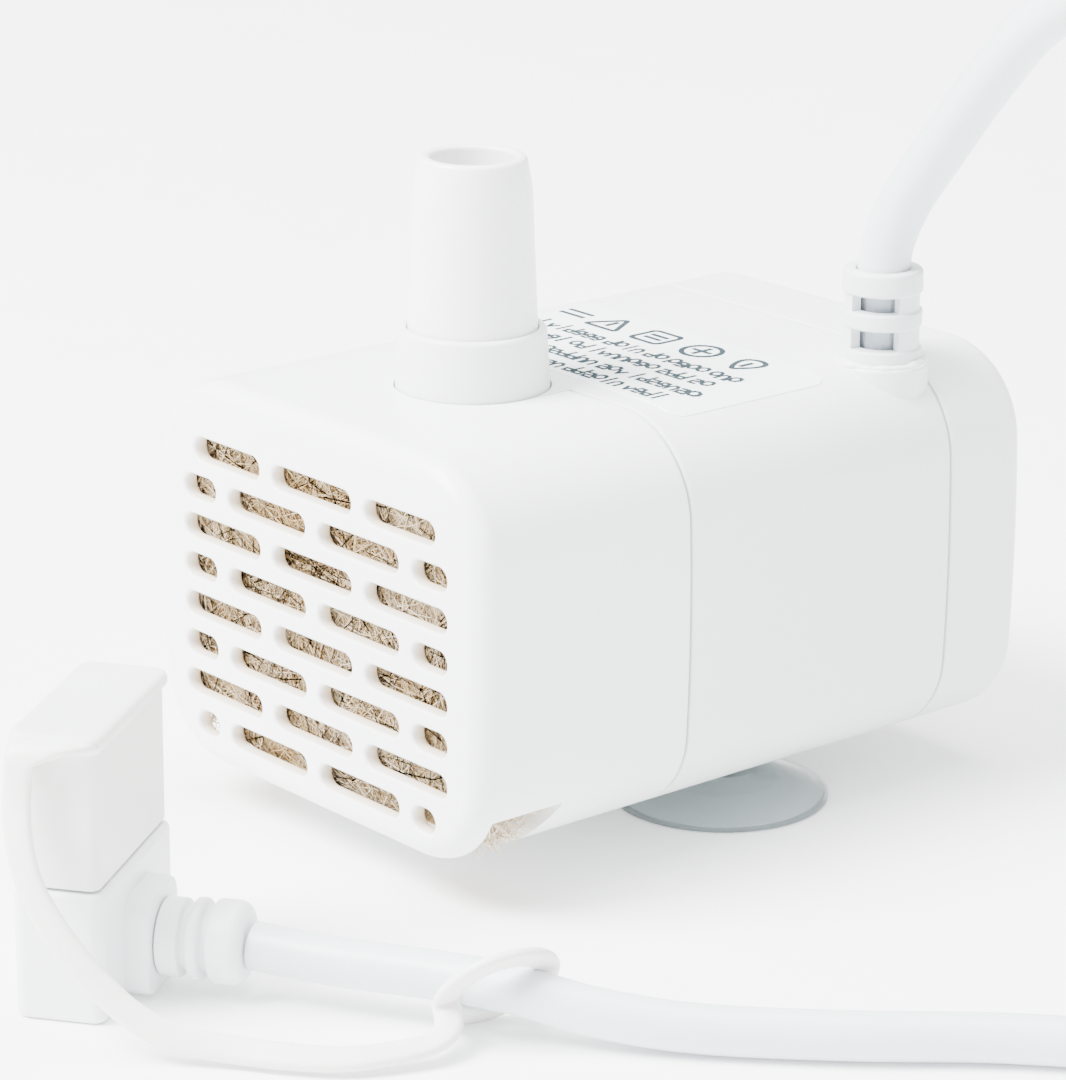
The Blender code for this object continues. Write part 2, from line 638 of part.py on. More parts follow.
def make_driver_parts(finishes):
    board = outline_y(rounded_rectangle(14.5 * MM, 10.5 * MM, 1.5 * MM), 12.6 * MM, 13.8 * MM)
    piece("driver_board", board, finishes["board"], smooth=False)
    chip = outline_y(rounded_rectangle(2.5 * MM, 2.0 * MM, 0.2 * MM), 13.9 * MM, 15.3 * MM)
    piece("driver_chip", chip, finishes["chip"], smooth=False)
    cylinder_shape = cylinder(1.9 * MM, 13.9 * MM, 15.5 * MM, "Y",
                              (-7 * MM, 0, AXIS_Z + 3 * MM), 24)
    piece("smoothing_capacitor", cylinder_shape, finishes["can"])
    for name, shift, drop, key in (("lead_positive", -0.8 * MM, 0.0, "red"),
                                   ("lead_negative", 0.8 * MM, 1.6 * MM, "black")):
        start_x = GLAND_X + shift
        route = [(start_x, GLAND_Y, 28.0 * MM), (start_x, GLAND_Y - 0.3 * MM, 27.0 * MM),
                 (start_x - MM, GLAND_Y - 1.8 * MM, 25.5 * MM - drop),
                 (start_x - 3 * MM, 14.75 * MM, 24.5 * MM - drop),
                 (start_x - 5 * MM, 14.4 * MM, 24.0 * MM - drop)]
        wire(name, route, 0.4 * MM, 1.0 * MM, finishes[key])


def make_resin_seal(material):
    """The potting plug that closes the rear of the motor space."""
    seal = piece("resin_seal", case_loft([(15.9 * MM, 1.9 * MM), (17.1 * MM, 1.9 * MM)]),
                 material)
    cut_from(seal, "gland_pocket", cylinder(3.9 * MM, 23.0 * MM, 40 * MM,
                                            centre=(GLAND_X, GLAND_Y, 0), segments=24))
    return seal


# --- cord, gland and plug ---------------------------------------------------------------
def make_gland(material, core_material):
    """Ladder strain relief: three rings joined by two side strips, round the cord."""
    inner = CORD_R + 0.2 * MM
    top = GLAND_TOP / MM
    profile = [(inner, 28.3), (2.8 * MM, 28.3), (2.9 * MM, 29.0), (2.9 * MM, 33.4),
               (GLAND_R, 33.7), (GLAND_R, 35.3), (3.0 * MM, 35.5), (3.0 * MM, 37.15),
               (GLAND_R, 37.3), (GLAND_R, 38.3), (3.0 * MM, 38.45), (3.0 * MM, 39.75),
               (GLAND_R, 39.9), (GLAND_R, top - 0.3), (GLAND_R - 0.3 * MM, top),
               (inner, top)]
    gland = piece("strain_relief", turned([(r, z * MM) for r, z in profile],
                                          centre=(GLAND_X, GLAND_Y, 0), closed=True,
                                          segments=32), material)
    turn = Matrix.Translation((GLAND_X, GLAND_Y, 0)) @ Matrix.Rotation(math.radians(-45), 4, "Z")
    windows = [moved(box((-5 * MM, -1.75 * MM, low * MM), (5 * MM, 1.75 * MM, high * MM)), turn)
               for low, high in ((35.5, 37.1), (38.45, 39.75))]
    cut_from(gland, "windows", joined(*windows))
    piece("cord_in_gland", cylinder(CORD_R - 0.05 * MM, 29.2 * MM, 40.6 * MM,
                                    centre=(GLAND_X, GLAND_Y, 0), segments=16), core_material)
    return gland


def make_cord(material):
    wire("cord_pump_end", PUMP_CORD_ROUTE, CORD_R, 7.5 * MM, material)
    wire("cord_plug_end", PLUG_CORD_ROUTE, CORD_R, 7.5 * MM, material)
    ring = [(COIL_INNER_R, 0), (COIL_OUTER_R, 0), (COIL_OUTER_R, COIL_HEIGHT),
            (COIL_INNER_R, COIL_HEIGHT)]
    piece("cord_coil", turned(ring, centre=(COIL_X, COIL_Y, 0), closed=True, segments=48),
          material)


def plug_frame():
    return Matrix.Translation((PLUG_X, PLUG_Y, 0)) @ Matrix.Rotation(PLUG_TURN, 4, "Z")


def make_plug(finishes):
    """Right-angle USB plug: moulded block, ribbed boot, shell, tongue and contacts."""
    frame = plug_frame()
    half_t, half_w = PLUG_THICK / 2, PLUG_WIDE / 2
    block = plug_block(half_t, half_w, 0.9 * MM,
                       [(0.0, 0.5 * MM), (0.15 * MM, 0.15 * MM), (0.5 * MM, 0.0),
                        (PLUG_HEIGHT - 0.5 * MM, 0.0), (PLUG_HEIGHT - 0.15 * MM, 0.15 * MM),
                        (PLUG_HEIGHT, 0.5 * MM)])
    body = piece("plug_body", moved(block, frame), finishes["plug"])
    neck_outline = rounded_rectangle(3.4 * MM, 3.7 * MM, 1.6 * MM)
    neck = loft([[Vector((x, y, BOOT_Z + z)) for y, z in neck_outline]
                 for x in (half_t - 0.8 * MM, 5.1 * MM)])
    add_to(body, "neck", moved(neck, frame))

    ribs = [(5.3, 2.75), (6.7, 2.75), (6.85, 2.3), (7.35, 2.3), (7.5, 2.95), (8.25, 2.95),
            (8.4, 2.3), (8.95, 2.3), (9.1, 3.0), (10.7, 3.0), (11.1, 2.6), (11.3, 2.1)]
    boot_profile = [(0.0, ribs[0][0])] + [(r, t) for t, r in ribs] + [(0.0, ribs[-1][0])]
    boot = turned([(r * MM, t * MM) for r, t in boot_profile], segments=24)
    lay = frame @ Matrix.Translation((0, 0, BOOT_Z)) @ Matrix.Rotation(math.pi / 2, 4, "Y")
    piece("plug_boot", moved(boot, lay), finishes["plug"])

    shell = piece("usb_shell", moved(plug_block(SHELL_THICK / 2, SHELL_WIDE / 2, 0.5 * MM,
                                                [(PLUG_HEIGHT + 0.2 * MM, 0), (SHELL_TOP, 0)]),
                                     frame), finishes["steel"])
    cut_from(shell, "mouth", moved(plug_block(
        SHELL_THICK / 2 - 0.3 * MM, SHELL_WIDE / 2 - 0.3 * MM, 0.3 * MM,
        [(PLUG_HEIGHT + 0.9 * MM, 0), (SHELL_TOP + MM, 0)]), frame))
    tongue_low, tongue_high = PLUG_HEIGHT + 1.1 * MM, SHELL_TOP - 0.6 * MM
    piece("usb_tongue", moved(box((0.1 * MM, -5.5 * MM, tongue_low),
                                  (1.85 * MM, 5.5 * MM, tongue_high)), frame),
          finishes["tongue"], smooth=False)
    for number in range(4):
        middle = (number - 1.5) * 2.3 * MM
        piece(f"usb_contact_{number + 1}", moved(
            box((-0.35 * MM, middle - 0.5 * MM, tongue_low + 0.6 * MM),
                (0.0, middle + 0.5 * MM, tongue_high - 0.5 * MM)), frame),
            finishes["gold"], smooth=False)


def make_plug_cap(material, parent):
    """Soft cap over the shell, with a small flange round its closed end."""
    frame = plug_frame()
    low = PLUG_HEIGHT + 0.2 * MM
    levels = [(low, 0.4 * MM), (CAP_TOP - 1.2 * MM, 0.4 * MM), (CAP_TOP - 1.0 * MM, 0.0),
              (CAP_TOP - 0.25 * MM, 0.0), (CAP_TOP, 0.25 * MM)]
    cap = piece("plug_cap", moved(plug_block(3.4 * MM, 7.9 * MM, 1.2 * MM, levels), frame),
                material, parent)
    cut_from(cap, "inside", moved(plug_block(2.45 * MM, 6.2 * MM, 0.5 * MM,
                                             [(low - MM, 0), (CAP_TOP - 0.6 * MM, 0)]), frame))
    return cap


def strap_rings(points, wide, thick):
    """Rectangles square to a route, their wide side kept near the ring's tilt."""
    rings = []
    for i, point in enumerate(points):
        along = (points[min(i + 1, len(points) - 1)] - points[max(i - 1, 0)]).normalized()
        flat = i / (len(points) - 1)
        toward = Vector((0.5, -0.86, 0)).lerp(Vector((0.1, -0.3, 1.0)), flat)
        normal = (toward - along * toward.dot(along)).normalized()
        across = along.cross(normal)
        rings.append([point + across * a * wide / 2 + normal * b * thick / 2
                      for a, b in ((-1, -1), (1, -1), (1, 1), (-1, 1))])
    return rings


def make_cap_tether(material):
    """Thin strap from beside the cap to a loose ring round the cord."""
    points = smooth_route(TETHER_ROUTE, 2.2 * MM)
    tether = piece("cap_tether", loft(strap_rings(points, 2.0 * MM, 0.9 * MM)), material)
    ring = turned([(3.6 * MM, -0.5 * MM), (4.4 * MM, -0.5 * MM), (4.4 * MM, 0.5 * MM),
                   (3.6 * MM, 0.5 * MM)], closed=True, segments=28)
    facing = Vector(TETHER_RING_FACING).to_track_quat("Z", "Y").to_matrix().to_4x4()
    lean = Matrix.Translation(TETHER_RING_CENTRE) @ facing
    add_to(tether, "ring", moved(ring, lean))
    return tether


# --- assembly --------------------------------------------------------------------------
def make_finishes():
    return {
        "case": finish("case white", (0.90, 0.92, 0.92), 0.45),
        "cover": finish("cover white", (0.91, 0.93, 0.93), 0.38),
        "nozzle": finish("nozzle white", (0.86, 0.87, 0.85), 0.32),
        "filter": finish("filter fibre", (0.52, 0.38, 0.22), 0.95),
        "label": finish("label film", (0.93, 0.95, 0.96), 0.35),
        "cup": finish("clear vinyl", (0.45, 0.50, 0.50), 0.25),
        "steel": finish("lamination steel", (0.42, 0.43, 0.45), 0.4, 1.0),
        "copper": finish("winding copper", (0.72, 0.33, 0.15), 0.35, 1.0),
        "bobbin": finish("bobbin nylon", (0.75, 0.74, 0.68), 0.5),
        "magnet": finish("ferrite", (0.06, 0.06, 0.07), 0.55),
        "ceramic": finish("ceramic", (0.85, 0.85, 0.82), 0.2),
        "rubber": finish("black rubber", (0.03, 0.03, 0.03), 0.7),
        "impeller": finish("impeller blue", (0.20, 0.36, 0.62), 0.4),
        "board": finish("board green", (0.05, 0.25, 0.12), 0.5),
        "chip": finish("chip black", (0.02, 0.02, 0.02), 0.5),
        "can": finish("capacitor can", (0.75, 0.75, 0.77), 0.3, 1.0),
        "red": finish("lead red", (0.6, 0.05, 0.04), 0.5),
        "black": finish("lead black", (0.03, 0.03, 0.03), 0.5),
        "resin": finish("potting resin", (0.10, 0.09, 0.08), 0.3),
        "gland": finish("gland grey", (0.72, 0.75, 0.77), 0.5),
        "cord": finish("cord jacket", (0.80, 0.82, 0.84), 0.45),
        "plug": finish("plug white", (0.88, 0.89, 0.90), 0.4),
        "tongue": finish("tongue white", (0.85, 0.85, 0.85), 0.4),
        "gold": finish("contact gold", (0.83, 0.62, 0.25), 0.25, 1.0),
        "cap": finish("cap clear", (0.86, 0.88, 0.86), 0.35),
    }


def main():
    clear_scene()
    finishes = make_finishes()
    cover_slide = hub("cover_slide", (0, COVER_SEAM_Y, AXIS_Z))
    head_slide = hub("head_slide", (0, VOLUTE_BACK, AXIS_Z))
    nozzle_slide = hub("nozzle_slide", (0, COLLAR_Y, COLLAR_TOP))
    rotor_axis = hub("rotor_axis", (0, 0, AXIS_Z))
    cap_slide = hub("cap_slide", (PLUG_X, PLUG_Y, PLUG_HEIGHT))

    make_front_cover(finishes["cover"], cover_slide)
    make_filter_pad(finishes["filter"], cover_slide)
    make_main_housing(finishes["case"])
    make_rear_cover(finishes["case"])
    make_label(finishes["label"])
    make_suction_cup("suction_cup_left", -1, finishes["cup"])
    make_suction_cup("suction_cup_right", 1, finishes["cup"])

    make_pump_head(finishes["case"], head_slide)
    make_bush("front_bush", VOLUTE_FRONT + 0.1 * MM, -14.9 * MM, 1.65 * MM,
              finishes["rubber"], head_slide)
    make_bush("rear_bush", 8.5 * MM, 10.6 * MM, 2.2 * MM, finishes["rubber"])
    make_nozzle(finishes["nozzle"], nozzle_slide)
    make_impeller(finishes["impeller"], rotor_axis)
    make_rotor_magnet(finishes["magnet"], rotor_axis)
    piece("shaft", cylinder(SHAFT_R, -16.5 * MM, 10.4 * MM, "Y", (0, 0, AXIS_Z), 24),
          finishes["ceramic"])
    make_head_seal(finishes["rubber"])

    make_stator_core(finishes["steel"])
    for side in (-1, 1):
        make_coil(side, finishes["bobbin"], finishes["copper"])
    make_driver_parts(finishes)
    make_resin_seal(finishes["resin"])

    make_gland(finishes["gland"], finishes["cord"])
    make_cord(finishes["cord"])
    make_plug(finishes)
    make_plug_cap(finishes["cap"], cap_slide)
    make_cap_tether(finishes["cap"])


main()
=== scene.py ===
"""Small USB fountain pump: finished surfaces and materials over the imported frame.

Everything is in metres, +Z up, in the frame's own coordinates.  The intake
grille faces -Y, the outlet points up and the cord leaves the top at the rear.
Each sub-assembly is a class: its fields are its sizes, its methods build its
pieces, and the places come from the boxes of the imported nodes.
"""
from __future__ import annotations

import json
import logging
import math
from dataclasses import dataclass
from enum import Enum
from typing import Callable, Mapping, Sequence

import bmesh
import bpy
import numpy as np
from mathutils import Matrix, Vector


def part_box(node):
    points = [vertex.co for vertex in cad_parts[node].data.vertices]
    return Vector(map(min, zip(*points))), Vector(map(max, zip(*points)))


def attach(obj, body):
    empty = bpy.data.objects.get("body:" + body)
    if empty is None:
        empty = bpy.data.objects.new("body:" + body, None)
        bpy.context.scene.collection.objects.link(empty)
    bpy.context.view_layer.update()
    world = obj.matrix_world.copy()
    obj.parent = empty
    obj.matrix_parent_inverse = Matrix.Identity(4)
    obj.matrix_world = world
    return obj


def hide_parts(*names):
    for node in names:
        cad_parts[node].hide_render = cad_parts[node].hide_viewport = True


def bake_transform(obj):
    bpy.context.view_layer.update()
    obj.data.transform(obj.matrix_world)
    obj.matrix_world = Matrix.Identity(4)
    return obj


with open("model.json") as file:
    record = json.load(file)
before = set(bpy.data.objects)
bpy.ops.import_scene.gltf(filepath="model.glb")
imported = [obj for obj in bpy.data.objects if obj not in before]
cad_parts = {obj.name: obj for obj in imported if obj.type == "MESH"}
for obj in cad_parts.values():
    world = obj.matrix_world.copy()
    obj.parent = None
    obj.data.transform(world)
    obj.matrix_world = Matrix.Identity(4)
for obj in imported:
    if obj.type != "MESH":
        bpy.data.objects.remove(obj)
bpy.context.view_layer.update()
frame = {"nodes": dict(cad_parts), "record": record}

MM = 0.001
log = logging.getLogger("fountain_pump")

Colour = tuple[float, float, float]
Point = tuple[float, float, float]


# --- surfaces ---------------------------------------------------------------------
def softened(path: Sequence[tuple[float, float]], reach: Sequence[float] | float,
             closed: bool = False, steps: int = 5) -> np.ndarray:
    """Round the corners of a path in the plane.

    Each corner P becomes P + d((1 - t)^2 u + t^2 v), where u and v point to its
    neighbours, d is its reach and t runs from 0 to 1.

    Args:
        path: the corners, (across, along) pairs.
        reach: how far from each corner its curve begins, one value or one each.
        closed: whether the last corner joins the first.
        steps: how many spans each curve has.

    Returns:
        The points of the rounded path, repeated points left out.
    """
    corners = np.asarray(path, float)
    before, after = np.roll(corners, 1, axis=0), np.roll(corners, -1, axis=0)
    u, v = before - corners, after - corners
    long_u, long_v = np.linalg.norm(u, axis=1), np.linalg.norm(v, axis=1)
    d = np.minimum(np.broadcast_to(reach, len(corners)), 0.49 * np.minimum(long_u, long_v))
    if not closed:
        d = d * (np.arange(len(corners)) % (len(corners) - 1) > 0)
    t = np.linspace(0, 1, steps + 1)[None, :, None]
    u, v = (u / long_u[:, None])[:, None], (v / long_v[:, None])[:, None]
    points = corners[:, None] + d[:, None, None] * ((1 - t) ** 2 * u + t ** 2 * v)
    points = points.reshape(-1, 2)
    fresh = np.linalg.norm(points - np.roll(points, 1, axis=0), axis=1) > 1e-8
    fresh[0] |= not closed
    return points[fresh]


def rounded_rectangle(half_a: np.ndarray | float, half_b: np.ndarray | float,
                      radius: np.ndarray | float, arc: int = 10, side: int = 6) -> np.ndarray:
    """Outline a rectangle with round corners, or a stack of them.

    Each point is a corner's centre, slid along the sides between corners, plus
    the radius times the unit direction at that point.

    Args:
        half_a: half of the first side, one value or one per ring.
        half_b: half of the second side.
        radius: the corner radius.
        arc: how many spans each corner has.
        side: how many spans each side has.

    Returns:
        Points counter-clockwise, shaped (..., count, 2).
    """
    sizes = np.broadcast_arrays(half_a, half_b, radius)
    half_a, half_b, radius = (np.asarray(size, float)[..., None] for size in sizes)
    ends = np.array([[1, 1], [-1, 1], [-1, -1], [1, -1]], float)
    slide = np.linspace(0, 1, side + 1)[1:-1, None]
    centre = np.concatenate([np.repeat(ends[:, None], arc + 1, axis=1),
                             ends[:, None] + (np.roll(ends, -1, axis=0) - ends)[:, None] * slide],
                            axis=1).reshape(-1, 2)
    quarter = np.arange(4)[:, None] * np.pi / 2
    angle = np.concatenate([quarter + np.linspace(0, np.pi / 2, arc + 1),
                            np.repeat(quarter + np.pi / 2, side - 1, axis=1)], axis=1).ravel()
    return np.stack([centre[:, 0] * (half_a - radius) + radius * np.cos(angle),
                     centre[:, 1] * (half_b - radius) + radius * np.sin(angle)], axis=-1)


def turned(profile: np.ndarray, axis: str = "Z", centre: Sequence[float] = (0, 0, 0),
           segments: int = 96) -> np.ndarray:
    """Turn a (radius, height) profile about an axis: radius times (cos, sin) plus height.

    Args:
        profile: (radius, height) pairs.
        axis: "Z" or "Y".
        centre: a point on the axis.
        segments: how many points each ring has.

    Returns:
        Rings shaped (profile points, segments, 3).
    """
    profile = np.asarray(profile, float)
    angle = np.linspace(0, 2 * np.pi, segments, endpoint=False)
    a = profile[:, :1] * np.cos(angle)
    b = profile[:, :1] * np.sin(angle)
    height = np.repeat(profile[:, 1:], segments, axis=1)
    order = (a, b, height) if axis == "Z" else (a, height, b)
    return np.stack(order, axis=-1) + np.asarray(centre, float)


def grid_faces(rows: int, columns: int, wrap_rows: bool = False,
               wrap_columns: bool = True) -> np.ndarray:
    """Quads over a grid of points, as rows of four indices.

    Args:
        rows: how many rings there are.
        columns: how many points each ring has.
        wrap_rows: whether the last ring joins the first.
        wrap_columns: whether each ring is closed.

    Returns:
        An array shaped (faces, 4).
    """
    i = np.arange(rows if wrap_rows else rows - 1)[:, None]
    j = np.arange(columns if wrap_columns else columns - 1)[None, :]
    here, there = i * columns, (i + 1) % rows * columns
    beside = (j + 1) % columns
    return np.stack([here + j, here + beside, there + beside, there + j], axis=-1).reshape(-1, 4)


def skin(name: str, rings: np.ndarray, closed: bool = False) -> bpy.types.Object:
    """Make a solid from rings of points, its two ends capped unless the rings close.

    Args:
        name: the object's name.
        rings: points shaped (rows, columns, 3).
        closed: whether the last ring joins the first.

    Returns:
        The object, its doubles merged and its faces pointing outwards.
    """
    rows, columns = rings.shape[:2]
    faces = grid_faces(rows, columns, wrap_rows=closed).tolist()
    if not closed:
        faces += [list(range(columns)), list(range((rows - 1) * columns, rows * columns))]
    return solid(name, rings.reshape(-1, 3), faces)


def solid(name: str, points: np.ndarray, faces: Sequence[Sequence[int]],
          tint: np.ndarray | None = None) -> bpy.types.Object:
    """Make an object from points and faces, merge doubles and turn its faces outwards.

    Args:
        name: the object's name.
        points: points shaped (count, 3).
        faces: point indices of each face.
        tint: one value for each point, kept as an attribute of that name.

    Returns:
        The object.
    """
    mesh = bpy.data.meshes.new(name)
    mesh.from_pydata(np.asarray(points, float).tolist(), [], faces)
    if tint is not None:
        attribute = mesh.attributes.new("tint", "FLOAT", "POINT")
        attribute.data.foreach_set("value", np.asarray(tint, np.float32))
    work = bmesh.new()
    work.from_mesh(mesh)
    bmesh.ops.remove_doubles(work, verts=work.verts, dist=2e-7)
    bmesh.ops.dissolve_degenerate(work, dist=1e-8, edges=work.edges)
    bmesh.ops.recalc_face_normals(work, faces=work.faces)
    work.to_mesh(mesh)
    work.free()
    made = bpy.data.objects.new(name, mesh)
    bpy.context.scene.collection.objects.link(made)
    return made


def moved(rings: np.ndarray, matrix: Matrix) -> np.ndarray:
    """Apply a 4 by 4 matrix to points of any leading shape."""
    place = np.array(matrix, float)
    return rings @ place[:3, :3].T + place[:3, 3]


def block(low: Sequence[float], high: Sequence[float]) -> np.ndarray:
    """Bound a box with two square rings.

    Args:
        low: its low corner.
        high: its high corner.

    Returns:
        Points shaped (2, 4, 3).
    """
    (x0, y0, z0), (x1, y1, z1) = low, high
    ring = np.array([(x0, y0), (x1, y0), (x1, y1), (x0, y1)], float)
    return np.stack([np.column_stack([ring, np.full(4, z)]) for z in (z0, z1)])


def boolean(target: bpy.types.Object, operation: str, *others: bpy.types.Object) -> None:
    """Combine other solids with the target, apply it and drop them.

    Args:
        target: the object that keeps the result.
        operation: "UNION", "DIFFERENCE" or "INTERSECT".
        others: the solids to use up.
    """
    for other in others:
        modifier = target.modifiers.new(other.name, "BOOLEAN")
        modifier.operation = operation
        modifier.solver = "EXACT"
        modifier.object = other
    bpy.context.view_layer.update()
    graph = bpy.context.evaluated_depsgraph_get()
    made = bpy.data.meshes.new_from_object(target.evaluated_get(graph))
    target.modifiers.clear()
    target.data = made
    for other in others:
        bpy.data.objects.remove(other, do_unlink=True)


def cut(target: bpy.types.Object, *cutters: bpy.types.Object) -> None:
    """Cut solids away from the target."""
    boolean(target, "DIFFERENCE", *cutters)


def weld(target: bpy.types.Object, *additions: bpy.types.Object) -> None:
    """Join solids to the target."""
    boolean(target, "UNION", *additions)


def spline_through(route: Sequence[Point] | np.ndarray, spacing: float) -> np.ndarray:
    """Lay evenly spaced points on the Catmull-Rom curve through a route.

    Each span is the cubic 0.5(2b + (c - a)t + (2a - 5b + 4c - d)t^2 + (3b - a - 3c + d)t^3)
    of four neighbouring points a, b, c, d.

    Args:
        route: the points that the curve passes.
        spacing: the wanted distance between points.

    Returns:
        The points, both ends included.
    """
    p = np.asarray(route, float)
    p = np.concatenate([2 * p[:1] - p[1:2], p, 2 * p[-1:] - p[-2:-1]])
    a, b, c, d = (p[i:len(p) - 3 + i, None] for i in range(4))
    t = np.linspace(0, 1, 24, endpoint=False)[None, :, None]
    fine = 0.5 * (2 * b + (c - a) * t + (2 * a - 5 * b + 4 * c - d) * t ** 2
                  + (3 * b - a - 3 * c + d) * t ** 3)
    fine = np.concatenate([fine.reshape(-1, 3), p[-2:-1]])
    reach = np.concatenate([[0], np.cumsum(np.linalg.norm(np.diff(fine, axis=0), axis=1))])
    even = np.linspace(0, reach[-1], max(3, round(reach[-1] / spacing)) + 1)
    return np.stack([np.interp(even, reach, fine[:, k]) for k in range(3)], axis=1)


def length_of(points: np.ndarray) -> float:
    """The length of a path through points."""
    return float(np.linalg.norm(np.diff(points, axis=0), axis=1).sum())


def foot_of(node: str) -> Point:
    """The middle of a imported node's box, at height zero."""
    low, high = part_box(node)
    return ((low.x + high.x) / 2, (low.y + high.y) / 2, 0.0)


# --- shader maths -----------------------------------------------------------------
class Value:
    """A node's output socket, on which Python arithmetic adds Math nodes."""

    def __init__(self, graph: "Graph", socket: bpy.types.NodeSocket) -> None:
        """Wrap one output socket of the graph."""
        self.graph = graph
        self.socket = socket

    def _math(self, operation: str, *terms: "Value | float") -> "Value":
        """Add one Math node over the terms."""
        return self.graph.node("ShaderNodeMath", {"operation": operation}, dict(enumerate(terms)))

    def __add__(self, other: "Value | float") -> "Value":
        """self + other."""
        return self._math("ADD", self, other)

    def __radd__(self, other: float) -> "Value":
        """other + self."""
        return self._math("ADD", other, self)

    def __sub__(self, other: "Value | float") -> "Value":
        """self - other."""
        return self._math("SUBTRACT", self, other)

    def __rsub__(self, other: float) -> "Value":
        """other - self."""
        return self._math("SUBTRACT", other, self)

    def __mul__(self, other: "Value | float") -> "Value":
        """self * other."""
        return self._math("MULTIPLY", self, other)

    def __rmul__(self, other: float) -> "Value":
        """other * self."""
        return self._math("MULTIPLY", other, self)

    def clamped(self) -> "Value":
        """The value held between 0 and 1."""
        return self._math("MINIMUM", self._math("MAXIMUM", self, 0.0), 1.0)


class Graph:
    """The node tree of one new material and its Principled shader."""

    def __init__(self, name: str) -> None:
        """Start a material.

        Args:
            name: the material's name.
        """
        self.material = bpy.data.materials.new(name)
        self.material.use_nodes = True
        self.tree = self.material.node_tree
        self.shader = self.tree.nodes["Principled BSDF"]

    def feed(self, socket: bpy.types.NodeSocket, value: object) -> None:
        """Link a Value to a socket, or set the socket's own value.

        Args:
            socket: the input to feed.
            value: a Value or a plain number, colour or vector.
        """
        if isinstance(value, Value):
            self.tree.links.new(value.socket, socket)
        else:
            socket.default_value = value

    def node(self, kind: str, settings: Mapping[str, object] | None = None,
             sockets: Mapping[int | str, object] | None = None,
             output: int | str = 0) -> Value:
        """Add a node.

        Args:
            kind: the node's type.
            settings: its properties, set first; "stops" fills a ramp's colour stops.
            sockets: values or links for its inputs.
            output: which output to return.

        Returns:
            The chosen output.
        """
        made = self.tree.nodes.new(kind)
        for key, value in (settings or {}).items():
            if key == "stops":
                for place, colour in value:
                    made.color_ramp.elements.new(place).color = (*colour, 1.0)
                made.color_ramp.elements.remove(made.color_ramp.elements[0])
                made.color_ramp.elements.remove(made.color_ramp.elements[-1])
            else:
                setattr(made, key, value)
        for key, value in (sockets or {}).items():
            self.feed(made.inputs[key], value)
        return Value(self, made.outputs[output])

    def noise(self, scale: float, stretch: Point = (1.0, 1.0, 1.0), detail: float = 2.0,
              roughness: float = 0.55) -> Value:
        """Noise on the object's coordinates.

        Args:
            scale: cells per metre.
            stretch: a factor on the scale for each axis.
            detail: how many finer layers it has.
            roughness: how strong the finer layers are.

        Returns:
            A value from 0 to 1.
        """
        where = self.node("ShaderNodeTexCoord", output="Object")
        where = self.node("ShaderNodeMapping", None, {"Vector": where, "Scale": stretch})
        return self.node("ShaderNodeTexNoise", None, {
            "Vector": where, "Scale": scale, "Detail": detail, "Roughness": roughness})

    def mixed(self, factor: Value | float, first: object, second: object) -> Value:
        """A colour between two colours."""
        return self.node("ShaderNodeMix", {"data_type": "RGBA", "clamp_factor": True},
                         {0: factor, 6: first, 7: second}, output=2)


class Pattern(Enum):
    """How a finish varies over its surface."""

    GRAIN = "moulded or spark-eroded grain"
    BRUSHED = "fine scratches one way"
    TURNS = "parallel turns of wire or stacked plates"
    SPECKLE = "coarse particles"
    STRANDS = "fibres tinted one by one"
    TRACKS = "copper tracks under a solder mask"


